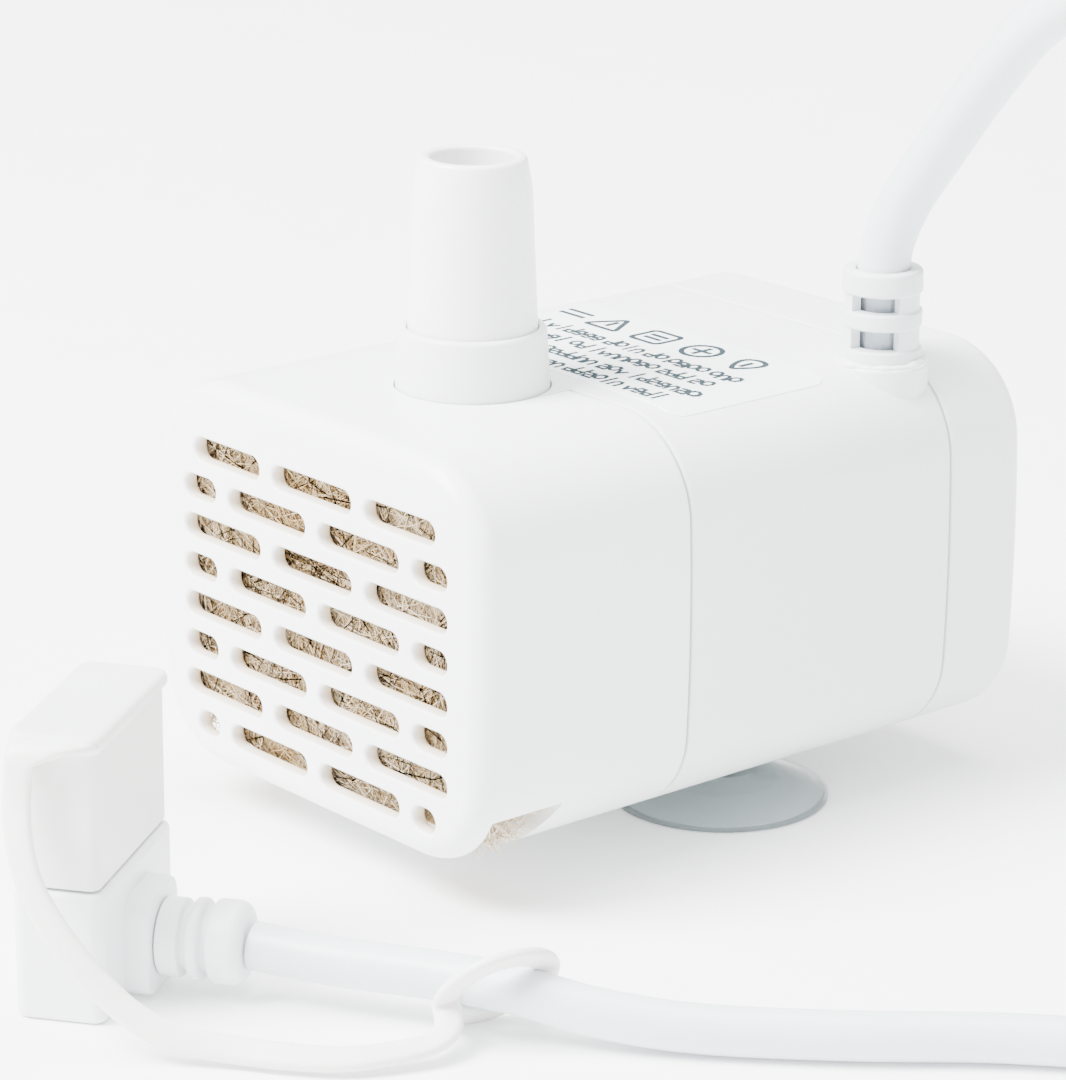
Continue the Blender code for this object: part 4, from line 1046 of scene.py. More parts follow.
# --- label ------------------------------------------------------------------------------
@dataclass
class Label:
    """The rating label: a thin film with greeked lines and plain symbols in dark ink."""

    case: Case
    shop: Workshop
    line_places: tuple[float, ...] = (-3.95 * MM, -1.5 * MM, 1.1 * MM, 3.5 * MM)
    line_spans: tuple[tuple[float, float], ...] = ((-13.2 * MM, 12.6 * MM),
                                                   (-13.4 * MM, 12.9 * MM),
                                                   (-12.0 * MM, 12.4 * MM),
                                                   (-13.0 * MM, 12.8 * MM))
    mark_height: float = 1.5 * MM
    stroke: float = 0.29 * MM
    symbol_stroke: float = 0.42 * MM
    symbols_y: float = 7.2 * MM

    def film(self) -> bpy.types.Object:
        """The film, its corners rounded, laid over the top and a little down its edges.

        Across x the film keeps its full length until the corner rounding, where
        its half length falls along a quarter circle.

        Returns:
            The film.
        """
        low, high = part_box("label")
        middle, half, corner = (low + high) / 2, (high - low) / 2, 1.2 * MM
        turn = np.linspace(0, np.pi / 2, 7)
        edge = half.x - corner * (1 - np.cos(turn[::-1]))
        x = np.concatenate([-edge[::-1], np.linspace(-edge[0], edge[0], 24)[1:-1], edge])
        past = np.maximum(np.abs(x) - (half.x - corner), 0.0)
        y = half.y - corner + np.sqrt(np.maximum(corner ** 2 - past ** 2, 0.0))
        top = self.case.height_at(np.abs(x))
        section = ((-1, -0.04), (1, -0.04), (1, 0.04), (0.995, 0.09), (-0.995, 0.09), (-1, 0.04))
        rings = np.stack([np.column_stack([x, middle.y + side * y, top + rise * MM])
                          for side, rise in section], axis=1)
        return self.shop.dress(skin("label_film", rings), "label", "pump", ["label"])

    def marks(self) -> np.ndarray:
        """Draw the greeked marks.

        Each line is a run of skeletons drawn at random from a small set of
        uprights, bows, arches and slants, with gaps between groups, so that it
        looks printed and spells nothing.

        Returns:
            Segments as (x0, y0, x1, y1) rows.
        """
        draw = np.random.default_rng(11)
        turn = np.linspace(0, 2 * np.pi, 9)
        bow = np.column_stack([0.36 * np.cos(turn), 0.36 * np.sin(turn) - 0.12])
        arch = np.array([(-0.3, 0.45), (-0.3, -0.05), (-0.1, -0.3), (0.15, -0.28), (0.3, -0.05),
                         (0.3, 0.45)])
        shapes = [bow, arch, np.array([(0.0, -0.6), (0.0, 0.45)]),
                  np.array([(-0.3, -0.1), (0.0, 0.45), (0.3, -0.1)]),
                  np.array([(0.3, -0.25), (-0.2, -0.3), (-0.3, 0.0), (0.25, 0.1), (0.2, 0.42),
                            (-0.3, 0.4)]),
                  np.array([(-0.3, 0.1), (0.32, 0.1), (0.2, -0.3), (-0.2, -0.3), (-0.32, 0.1),
                            (-0.15, 0.42), (0.28, 0.38)]),
                  np.vstack([bow, [(0.36, -0.12), (0.36, 0.45)]]),
                  np.array([(-0.3, -0.6), (-0.3, 0.4), (0.25, 0.4), (0.33, 0.05), (-0.25, 0.0)])]
        rows = []
        for y, (low, high) in zip(self.line_places, self.line_spans):
            x, left = low, 0
            while x < high:
                if left == 0:
                    left, x = int(draw.integers(2, 8)), x + 0.45 * MM
                shape = shapes[int(draw.integers(len(shapes)))] * self.mark_height * (-0.82, -1.0)
                line = shape + (x, y)
                rows.append(np.hstack([line[:-1], line[1:]]))
                x, left = x + 1.06 * MM, left - 1
        return np.concatenate(rows)

    def loop(self, x: float, outline: np.ndarray) -> np.ndarray:
        """Segments round an outline centred at (x, symbols_y)."""
        line = np.vstack([outline, outline[:1]]) + (x, self.symbols_y)
        return np.hstack([line[:-1], line[1:]])

    def inked(self, segments: np.ndarray, width: float) -> np.ndarray:
        """Lay thin slabs along segments, lapped at their ends, that follow the case's top.

        Args:
            segments: (x0, y0, x1, y1) rows.
            width: the strokes' width.

        Returns:
            Points shaped (segments, 2, 4, 3).
        """
        start, end = segments[:, :2], segments[:, 2:]
        along = end - start
        along /= np.linalg.norm(along, axis=1)[:, None]
        side = np.column_stack([-along[:, 1], along[:, 0]]) * width / 2
        start, end = start - along * width * 0.35, end + along * width * 0.35
        flat = np.stack([start - side, end - side, end + side, start + side], axis=1)
        stagger = (np.arange(len(flat)) % 5)[:, None] * 0.004 * MM
        top = self.case.height_at(np.abs(flat[..., 0])) + stagger
        return np.stack([np.concatenate([flat, (top + rise)[..., None]], axis=-1)
                         for rise in (0.070 * MM, 0.105 * MM)], axis=1)

    def printing(self) -> bpy.types.Object:
        """Print the ink: greeked lines and four plain symbols, a hair above the film.

        Returns:
            The ink.
        """
        angle = np.linspace(0, 2 * np.pi, 28, endpoint=False)
        drop = np.column_stack([np.sin(angle) * (1.15 - 0.55 * np.cos(angle)) * 0.9,
                                -1.5 * np.cos(angle)]) * MM
        ring = np.column_stack([np.cos(angle), np.sin(angle)]) * 1.6 * MM
        tile = rounded_rectangle(1.55 * MM, 1.45 * MM, 0.5 * MM, 4, 1)
        peak = softened([(-1.8 * MM, -1.35 * MM), (1.8 * MM, -1.35 * MM), (0.0, 1.7 * MM)],
                        0.5 * MM, closed=True, steps=5)
        places = (9.4 * MM, 4.3 * MM, -1.0 * MM, -6.2 * MM)
        thick = [self.loop(x, outline) for x, outline in zip(places, (drop, ring, tile, peak))]
        extra = np.array([(9.4, -0.6, 9.4, 0.5), (3.4, 0.0, 5.2, 0.0), (4.3, -0.9, 4.3, 0.9),
                          (-1.8, -0.4, -0.2, -0.4), (-1.8, 0.4, -0.2, 0.4),
                          (-6.2, -0.6, -6.2, 0.5), (-11.8, 0.5, -9.2, 0.5),
                          (-11.8, -0.5, -9.2, -0.5)]) * MM + (0, self.symbols_y) * 2
        slabs = np.concatenate([self.inked(self.marks(), self.stroke),
                                self.inked(np.concatenate([*thick, extra]), self.symbol_stroke)])
        return self.shop.dress(stack("label_print", slabs), "ink", "pump", weighted=False)


# --- feet -------------------------------------------------------------------------------
@dataclass
class SuctionCups:
    """Clear soft cups: a button, a neck and a thin shallow cone with a flat rim."""

    shop: Workshop

    def build(self) -> list[bpy.types.Object]:
        """Build both cups.

        Returns:
            The cups, the left one first.
        """
        made = []
        for side in ("left", "right"):
            low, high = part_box(f"suction_cup_{side}")
            rim = (high.x - low.x) / 2 / MM
            corners = [(0.0, 6.1), (1.9, 6.1), (2.4, 5.7), (2.4, 5.05), (1.6, 4.95), (1.6, 3.3),
                       (2.6, 3.1), (3.2, 2.6), (5.2, 1.9), (7.2, 1.15), (rim, 0.45), (rim, 0.0),
                       (rim - 0.7, 0.0), (6.8, 0.55), (4.8, 1.3), (2.2, 1.9), (0.0, 2.0)]
            profile = softened(np.array(corners) * MM, 0.22 * MM, steps=4)
            cup = skin(f"suction_foot_{side}", turned(
                profile, centre=foot_of(f"suction_cup_{side}"), segments=128))
            made.append(self.shop.dress(cup, "cup", "pump", [f"suction_cup_{side}"],
                                        sharp=60.0, weighted=False))
        return made


# --- pump end -----------------------------------------------------------------------------
@dataclass
class PumpEnd:
    """The head with its volute, inlet spider and collar, and the outlet stub."""

    case: Case
    collar: Collar
    shop: Workshop
    volute_front: float = -16.8 * MM
    volute_back: float = -7.9 * MM
    volute: float = 11.2 * MM
    flange: float = 12.5 * MM
    flange_thick: float = 1.5 * MM
    chamber: float = 9.8 * MM
    eye: float = 3.8 * MM
    front_wall: float = 1.2 * MM
    hub: float = 2.5 * MM
    bush_seat: float = 1.75 * MM
    duct: float = 4.3 * MM
    passage: float = 2.9 * MM

    def head(self) -> bpy.types.Object:
        """Build the pump head in one moulding.

        Returns:
            The head.
        """
        axis = (0.0, 0.0, self.case.axis_z)
        front, back = self.volute_front, self.volute_back
        inner, step = front + self.front_wall, back - self.flange_thick
        corners = [(self.eye, front), (self.volute, front), (self.volute, step),
                   (self.flange, step), (self.flange, back), (self.chamber, back),
                   (self.chamber, inner), (self.eye, inner)]
        reach = np.array([0.3, 0.8, 0.3, 0.2, 0.2, 0.2, 0.5, 0.3]) * MM
        profile = softened(corners, reach, closed=True)
        head = skin("volute_head", turned(profile, "Y", axis), closed=True)
        boss = softened([(0.0, front - 0.8 * MM), (self.hub, front - 0.8 * MM),
                         (self.hub, inner + 0.7 * MM), (0.0, inner + 0.7 * MM)], 0.3 * MM)
        spoke = block((2.2 * MM, front + 0.1 * MM, -0.5 * MM),
                      (4.4 * MM, inner - 0.1 * MM, 0.5 * MM))
        spokes = [moved(spoke, Matrix.Translation(axis) @ Matrix.Rotation(turn, 4, "Y"))
                  for turn in (math.radians(30 + 120 * k) for k in range(3))]
        top, radius = self.collar.top, self.collar.radius
        duct = softened([(0.0, self.case.axis_z + 8.5 * MM),
                         (self.duct, self.case.axis_z + 8.5 * MM),
                         (self.duct, self.case.top - 2.9 * MM),
                         (radius, self.case.top - 2.5 * MM), (radius, self.case.top),
                         (self.collar.top_radius, top), (0.0, top)],
                        [0.0, 0.1 * MM, 0.1 * MM, 0.1 * MM, 0.1 * MM, 0.4 * MM, 0.0], steps=7)
        centre = (0.0, self.collar.y, 0.0)
        weld(head, skin("boss", turned(boss, "Y", axis)), stack("spokes", np.stack(spokes)),
             skin("duct", turned(duct, centre=centre, segments=128)))
        socket = self.collar.socket
        ledge = self.case.top + 0.5 * MM
        passage = [(self.passage, self.case.axis_z + 6 * MM), (self.passage, ledge),
                   (socket, ledge), (socket, top - 0.2 * MM),
                   (socket + 0.03 * MM, top - 0.08 * MM), (socket + 0.12 * MM, top),
                   (socket + 0.14 * MM, top + MM)]
        seat = [(self.bush_seat, front - 0.2 * MM), (self.bush_seat, inner + 2 * MM)]
        cut(head, skin("passage", turned(passage, centre=centre, segments=128)),
            skin("bush_seat", turned(seat, "Y", axis)))
        return self.shop.dress(head, "case", "head", ["pump_head"])

    def nozzle(self) -> bpy.types.Object:
        """Build the outlet stub: straight foot, slow taper, round rim and tapered bore.

        Returns:
            The stub.
        """
        low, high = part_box("outlet_nozzle")
        foot, tip = low.z, high.z - 0.5 * MM
        corners = np.array([(3.0 * MM, foot), (4.7 * MM, foot), (4.95 * MM, foot + 0.6 * MM),
                            (4.93 * MM, self.collar.top - 0.5 * MM), (4.56 * MM, tip - 4.6 * MM),
                            (4.47 * MM, tip - 2.3 * MM), (4.02 * MM, tip), (3.2 * MM, tip),
                            (3.1 * MM, tip - 1.8 * MM)])
        reach = np.array([0.2, 0.1, 0.1, 0.6, 1.0, 1.1, 1.0, 0.4, 0.4]) * MM
        profile = softened(corners, reach, closed=True, steps=9)
        stub = skin("outlet_stub", turned(profile, centre=(0.0, self.collar.y, 0.0),
                                          segments=128), closed=True)
        return self.shop.dress(stub, "nozzle", "nozzle", ["outlet_nozzle"], sharp=50.0)


# --- filter -------------------------------------------------------------------------------
@dataclass
class FilterPad:
    """The fibre pad behind the grille: a plain core under a mat of tinted fibres."""

    case: Case
    shop: Workshop
    fibres: int = 3700
    loose: int = 430
    half_height: float = 13.35 * MM
    mat_front: float = 0.92 * MM
    mat_back: float = 1.5 * MM
    corner_low: float = 5.0 * MM
    corner_high: float = 8.0 * MM
    corner_run: float = 2.3 * MM
    corner_slope: float = 3.0
    notch_x: float = 13.7 * MM
    notch_side: float = 18.6 * MM
    notch_z: tuple[float, float] = (4.5 * MM, 7.9 * MM)
    notch_front: float = 1.75 * MM
    notch_back: float = 4.6 * MM
    radius: float = 0.062 * MM
    bend_share: float = 0.7

    def core(self) -> bpy.types.Object:
        """Build the core: case outlines set in from the walls, with a broken front edge.

        Returns:
            The core.
        """
        low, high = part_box("filter_pad")
        y = np.concatenate([[low.y - 0.40 * MM], np.linspace(low.y - 0.1 * MM, high.y, 8)])
        inset = np.concatenate([[2.4 * MM], np.full(8, 2.0 * MM)])
        rings = self.case.rings(list(zip(y.tolist(), inset.tolist())), 10, 14)
        return self.shop.dress(skin("filter_core", rings), "filter_core", "filter",
                               ["filter_pad"], sharp=60.0, weighted=False)

    def strands(self, centre: np.ndarray, along: np.ndarray, length: np.ndarray,
                bend: np.ndarray, radius: np.ndarray, spans: int = 6) -> np.ndarray:
        """Curved fibres: centre + (t - 1/2) length along + (t - 1/2)^2 bend, as thin prisms.

        Args:
            centre: fibre middles, shaped (count, 3).
            along: unit directions.
            length: fibre lengths.
            bend: sideways vectors that curve each fibre.
            radius: fibre radii.
            spans: spans along each fibre.

        Returns:
            Points shaped (count, spans + 1, 3, 3).
        """
        t = (np.linspace(0, 1, spans + 1) - 0.5)[None, :, None]
        line = centre[:, None] + t * (along * length[:, None])[:, None] \
            + t ** 2 * bend[:, None] + np.sin(t * 9.0) * bend[:, None] * 0.08
        across = np.cross(along, bend)
        across /= np.linalg.norm(across, axis=1)[:, None]
        other = np.cross(along, across)
        turn = np.arange(3) * 2 * np.pi / 3
        ring = np.cos(turn)[None, :, None] * across[:, None] \
            + np.sin(turn)[None, :, None] * other[:, None]
        taper = 1 - 0.7 * np.abs(2 * t) ** 6
        return line[:, :, None] + ring[:, None] * (radius[:, None, None] * taper)[..., None]

    def held_in(self, points: np.ndarray) -> np.ndarray:
        """Pull points inside a fifth-power oval that fits the cover's inner wall.

        Args:
            points: points of any leading shape.

        Returns:
            The points, moved straight towards the axis where they lay outside.
        """
        x = points[..., 0] / (self.case.half_width - 2.2 * MM)
        z = (points[..., 2] - self.case.axis_z) / self.half_height
        over = np.maximum(1.0, (np.abs(x) ** 5 + np.abs(z) ** 5) ** 0.2)
        held = points.copy()
        held[..., 0] /= over
        held[..., 2] = self.case.axis_z + (points[..., 2] - self.case.axis_z) / over
        return held

    def tangle(self, name: str, body: str, centre: np.ndarray, along: np.ndarray,
               length: np.ndarray, tint: np.ndarray, draw: np.random.Generator,
               keep: Callable[[np.ndarray], np.ndarray]) -> bpy.types.Object:
        """Fibres with random bends, tinted one by one and kept inside a region.

        Args:
            name: the piece's name.
            body: the body it moves with.
            centre: fibre middles.
            along: directions, of any length.
            length: fibre lengths.
            tint: one value from 0 to 1 for each fibre.
            draw: the source of random numbers.
            keep: moves points into the region they may fill.

        Returns:
            The piece.
        """
        along = along / np.linalg.norm(along, axis=1)[:, None]
        bend = draw.normal(0, 1, along.shape) * (1.0, 0.12, 1.0) \
            * (length * self.bend_share)[:, None]
        radius = self.radius * draw.uniform(0.55, 1.25, len(length))
        piece = stack(name, keep(self.strands(centre, along, length, bend, radius)), tint)
        self.shop.dress(piece, "filter", body, sharp=180.0, weighted=False)
        return piece

    def in_mat(self, points: np.ndarray) -> np.ndarray:
        """Hold points in the mat's layer and out of the two lower corners.

        In a corner the lowest height climbs by three times the distance outwards,
        up to a ceiling.

        Args:
            points: points of any leading shape.

        Returns:
            The points, moved into the layer.
        """
        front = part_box("filter_pad")[0].y
        held = self.held_in(points)
        held[..., 1] = np.clip(held[..., 1], front - self.mat_front, front + self.mat_back)
        out = np.abs(held[..., 0]) - self.notch_x + self.corner_run
        lowest = np.minimum(self.corner_high, self.corner_low + self.corner_slope * out)
        held[..., 2] = np.maximum(held[..., 2], lowest)
        return held

    def in_notches(self, points: np.ndarray) -> np.ndarray:
        """Hold points in the cover's two lower notches.

        Args:
            points: points of any leading shape.

        Returns:
            The points, moved into the notch on their own side.
        """
        held = points.copy()
        held[..., 0] = np.sign(held[..., 0]) * np.clip(np.abs(held[..., 0]), self.notch_x,
                                                       self.notch_side)
        held[..., 1] = np.clip(held[..., 1], self.case.front + self.notch_front,
                               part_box("filter_pad")[0].y + self.notch_back)
        held[..., 2] = np.clip(held[..., 2], *self.notch_z)
        return held

    def mat(self) -> bpy.types.Object:
        """Lay the mat: fibres at random just behind the plate.

        Returns:
            The mat.
        """
        low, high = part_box("filter_pad")
        draw, n = np.random.default_rng(5), self.fibres
        centre = draw.uniform((-17 * MM, low.y - 0.88 * MM, low.z),
                              (17 * MM, low.y - 0.2 * MM, high.z), (n, 3))
        along = draw.normal(0, 1, (n, 3)) * (1.0, 0.10, 0.75)
        tint = np.clip(draw.normal(0.40, 0.28, n), 0, 1)
        return self.tangle("filter_mat", "filter", centre, along,
                           draw.uniform(5 * MM, 13 * MM, n), tint, draw, self.in_mat)

    def tufts(self) -> bpy.types.Object:
        """Lay the strands caught in the cover's two lower notches.

        Returns:
            The strands.
        """
        low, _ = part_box("filter_pad")
        draw, n = np.random.default_rng(8), self.loose
        centre = draw.uniform((self.notch_x, low.y + 0.2 * MM, 5.3 * MM),
                              (17.2 * MM, low.y + 3.6 * MM, 7.7 * MM), (n, 3))
        centre[:, 0] *= np.where(draw.random(n) < 0.6, 1.0, -1.0)
        along = draw.normal(0, 1, (n, 3)) * (1.0, 0.8, 0.6)
        return self.tangle("caught_strands", "cover", centre, along,
                           draw.uniform(1.8 * MM, 3.8 * MM, n), draw.uniform(0.6, 1.0, n),
                           draw, self.in_notches)


# --- strain relief -----------------------------------------------------------------------
@dataclass
class StrainRelief:
    """The ladder strain relief and its weld bead."""

    case: Case
    shop: Workshop
    radius: float = 3.15 * MM
    core: float = 2.05 * MM
    turn: float = -57.0
    window_half: float = 40.0
    windows: tuple[tuple[float, float], ...] = ((35.5 * MM, 37.1 * MM), (38.45 * MM, 39.75 * MM))

    def __post_init__(self) -> None:
        """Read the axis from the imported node."""
        low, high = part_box("strain_relief")
        self.centre, self.foot, self.top = foot_of("strain_relief"), low.z, high.z

    def sleeve(self) -> bpy.types.Object:
        """Build the sleeve: three rings joined by two side strips, with windows between.

        Returns:
            The sleeve.
        """
        r, top = self.radius, self.top
        (low_1, high_1), (low_2, high_2) = self.windows
        corners = np.array([(self.core, self.foot), (r - 0.1 * MM, self.foot), (r, 29.0 * MM),
                            (r + 0.02 * MM, 34.9 * MM), (r - 0.02 * MM, low_1 - 0.1 * MM),
                            (2.95 * MM, low_1), (2.93 * MM, high_1),
                            (r - 0.03 * MM, high_1 + 0.1 * MM),
                            (r - 0.03 * MM, low_2 - 0.1 * MM), (2.9 * MM, low_2),
                            (2.9 * MM, high_2), (r - 0.02 * MM, high_2 + 0.1 * MM),
                            (r - 0.05 * MM, top), (self.core + 0.02 * MM, top)])
        reach = np.array([0.1, 0.1, 0.1, 0.2, 0.2, 0.05, 0.05, 0.2, 0.2, 0.05, 0.05, 0.25,
                          0.35, 0.25]) * MM
        sleeve = skin("ladder_sleeve", turned(softened(corners, reach, closed=True),
                                              centre=self.centre, segments=112), closed=True)
        cutters = []
        for low, high in self.windows:
            for side in (0.0, 180.0):
                angle = np.radians(self.turn + side
                                   + np.linspace(-self.window_half, self.window_half, 5))
                rim = np.column_stack([np.cos(angle), np.sin(angle)]) * 6 * MM
                outline = np.vstack([np.zeros((1, 2)), rim]) + np.asarray(self.centre[:2])
                cutters.append(skin("window", np.stack([
                    np.column_stack([outline, np.full(len(outline), z)])
                    for z in (low, high)])))
        cut(sleeve, *cutters)
        return self.shop.dress(sleeve, "gland", "pump", ["strain_relief"])

    def bead(self) -> bpy.types.Object:
        """Build the bead round the foot: a ring whose thickness wavers with a few sines.

        Returns:
            The bead.
        """
        around = np.linspace(0, 2 * np.pi, 120, endpoint=False)[:, None]
        section = np.linspace(0, 2 * np.pi, 14, endpoint=False)[None, :]
        waver = 1 + 0.28 * np.sin(3 * around + 0.6) + 0.2 * np.sin(7 * around) \
            + 0.1 * np.sin(17 * around + 1.0)
        thick = 0.34 * MM * waver
        radius = self.radius + 0.16 * MM + thick * np.cos(section)
        rings = np.stack([radius * np.cos(around), radius * np.sin(around),
                          self.case.top - 0.02 * MM + 0.75 * thick * np.sin(section)], axis=-1)
        rings = rings + np.asarray(self.centre)
        return self.shop.dress(skin("weld_bead", rings, closed=True), "glue", "pump",
                               sharp=180.0, weighted=False)


# --- cord ---------------------------------------------------------------------------------
@dataclass
class Cord:
    """The cord from the strain relief to the plug, its spare length in one coil."""

    shop: Workshop
    length: float = 1.5
    radius: float = 1.75 * MM
    centre: tuple[float, float] = (72.0 * MM, 26.5 * MM)
    inner: float = 17.5 * MM
    outer: float = 24.7 * MM
    layer: float = 3.5 * MM
    turns_out: float = 2.2
    turns_up: float = 0.26
    start_angle: float = -50.0
    end_angle: float = 60.0
    whole_turns: int = 9
    tie_height: float = 14.05 * MM
    tie_half_width: float = 2.4 * MM
    pump_reach: float = 120 * MM
    pump_run: tuple[Point, ...] = (
        (0.0140, 0.0170, 0.0412), (0.0143, 0.0172, 0.0437), (0.0156, 0.0177, 0.0471),
        (0.0185, 0.0181, 0.0513), (0.0235, 0.0180, 0.0575), (0.0295, 0.0174, 0.0632),
        (0.0365, 0.0182, 0.0668), (0.0445, 0.0220, 0.0660), (0.0520, 0.0280, 0.0585),
        (0.0575, 0.0340, 0.0460), (0.0615, 0.0388, 0.0335), (0.0655, 0.0428, 0.0235),
        (0.0700, 0.0456, 0.0170), (0.0755, 0.0467, 0.0136))
    plug_run: tuple[Point, ...] = (
        (0.0822, 0.0028, 0.00175), (0.0757, -0.0023, 0.0018), (0.0720, -0.0047, 0.0018),
        (0.0660, -0.0084, 0.0018), (0.0589, -0.0146, 0.0018), (0.0522, -0.0222, 0.0018),
        (0.0449, -0.0294, 0.00185), (0.0396, -0.0339, 0.0025), (0.0348, -0.0372, 0.0035),
        (0.0296, -0.0400, 0.0036), (0.0233, -0.0439, 0.0036), (0.0181, -0.0467, 0.0038))

    def coil(self) -> np.ndarray:
        """Wind the coil from the plug's side up: a flat spiral out and in, layer on layer.

        Within a layer the radius runs from one rim to the other, and in its last
        part the cord climbs by one diameter along a smooth step.

        Returns:
            The centreline's points, shaped (count, 3).
        """
        total = self.whole_turns + (self.end_angle - self.start_angle) / 360.0
        u = np.linspace(0, total, int(total * 40) + 1)
        per_layer = self.turns_out + self.turns_up
        level = np.floor(u / per_layer)
        local = u - level * per_layer
        across = np.clip(local / self.turns_out, 0, 1)
        across = np.where(level % 2 == 0, 1 - across, across)
        climb = np.clip((local - self.turns_out) / self.turns_up, 0, 1)
        climb = climb * climb * (3 - 2 * climb)
        r = self.inner + (self.outer - self.inner) * across
        angle = np.radians(self.start_angle) + 2 * np.pi * u
        return np.stack([self.centre[0] + r * np.cos(angle), self.centre[1] + r * np.sin(angle),
                         self.radius + 0.02 * MM + self.layer * (level + climb)], axis=1)

    def route(self) -> np.ndarray:
        """Join the two runs and the coil.

        Returns:
            The whole centreline, from the strain relief to the plug.
        """
        wound = self.coil()[::-1]
        ends = np.concatenate([np.array(self.pump_run), wound[3:-3:3], np.array(self.plug_run)])
        return spline_through(ends, 2.2 * MM)

    def build(self, with_pieces: Sequence[object]) -> bpy.types.Object:
        """Args:
            with_pieces: the pieces on it, its plug among them; not used.

        Returns:
            The cord.
        """
        points = self.route()
        log.info("cord length %.3f m", length_of(points))
        curve = bpy.data.curves.new("power_cord", "CURVE")
        curve.dimensions = "3D"
        curve.bevel_depth = self.radius
        curve.bevel_resolution = 6
        curve.use_fill_caps = True
        spline = curve.splines.new("POLY")
        spline.points.add(len(points) - 1)
        spline.points.foreach_set("co", np.column_stack([points, np.ones(len(points))]).ravel())
        spline.points.foreach_set("radius", self.fullness(points))
        spline.use_smooth = True
        cord = bpy.data.objects.new("power_cord", curve)
        bpy.context.scene.collection.objects.link(cord)
        self.shop.dress(cord, "cord", "pump", ["cord_pump_end", "cord_plug_end", "cord_coil"])
        2 * self.radius
        return cord

    def fullness(self, points: np.ndarray) -> np.ndarray:
        """Thickness along the cord: a little more at the pump, fading with a half cosine."""
        gone = np.concatenate([[0.0], np.cumsum(np.linalg.norm(np.diff(points, axis=0), axis=1))])
        return 1.0 + 0.075 * (1 + np.cos(np.pi * np.clip(gone / self.pump_reach, 0, 1)))

    def tie(self) -> bpy.types.Object:
        """Build the tie round the coil's section: a flat band with a round path.

        Returns:
            The tie.
        """
        height, wall, half = self.tie_height, 0.7 * MM, (self.outer - self.inner) / 2
        outline = rounded_rectangle(half + self.radius + 0.1 * MM, height / 2, 2.2 * MM, 8, 3)
        inside = rounded_rectangle(half + self.radius + 0.1 * MM - wall, height / 2 - wall,
                                   1.6 * MM, 8, 3)
        middle = (self.inner + self.outer) / 2
        profile = ((inside, -1), (outline, -1), (outline, 1), (inside, 1))
        rings = np.stack([np.column_stack([line[:, 0] + middle,
                                           np.full(len(line), side * self.tie_half_width),
                                           line[:, 1] + height / 2]) for line, side in profile])
        turn = Matrix.Translation((*self.centre, 0.0)) @ Matrix.Rotation(math.radians(20), 4, "Z")
        band = skin("coil_tie", moved(rings, turn), closed=True)
        return self.shop.dress(band, "tie", "pump")


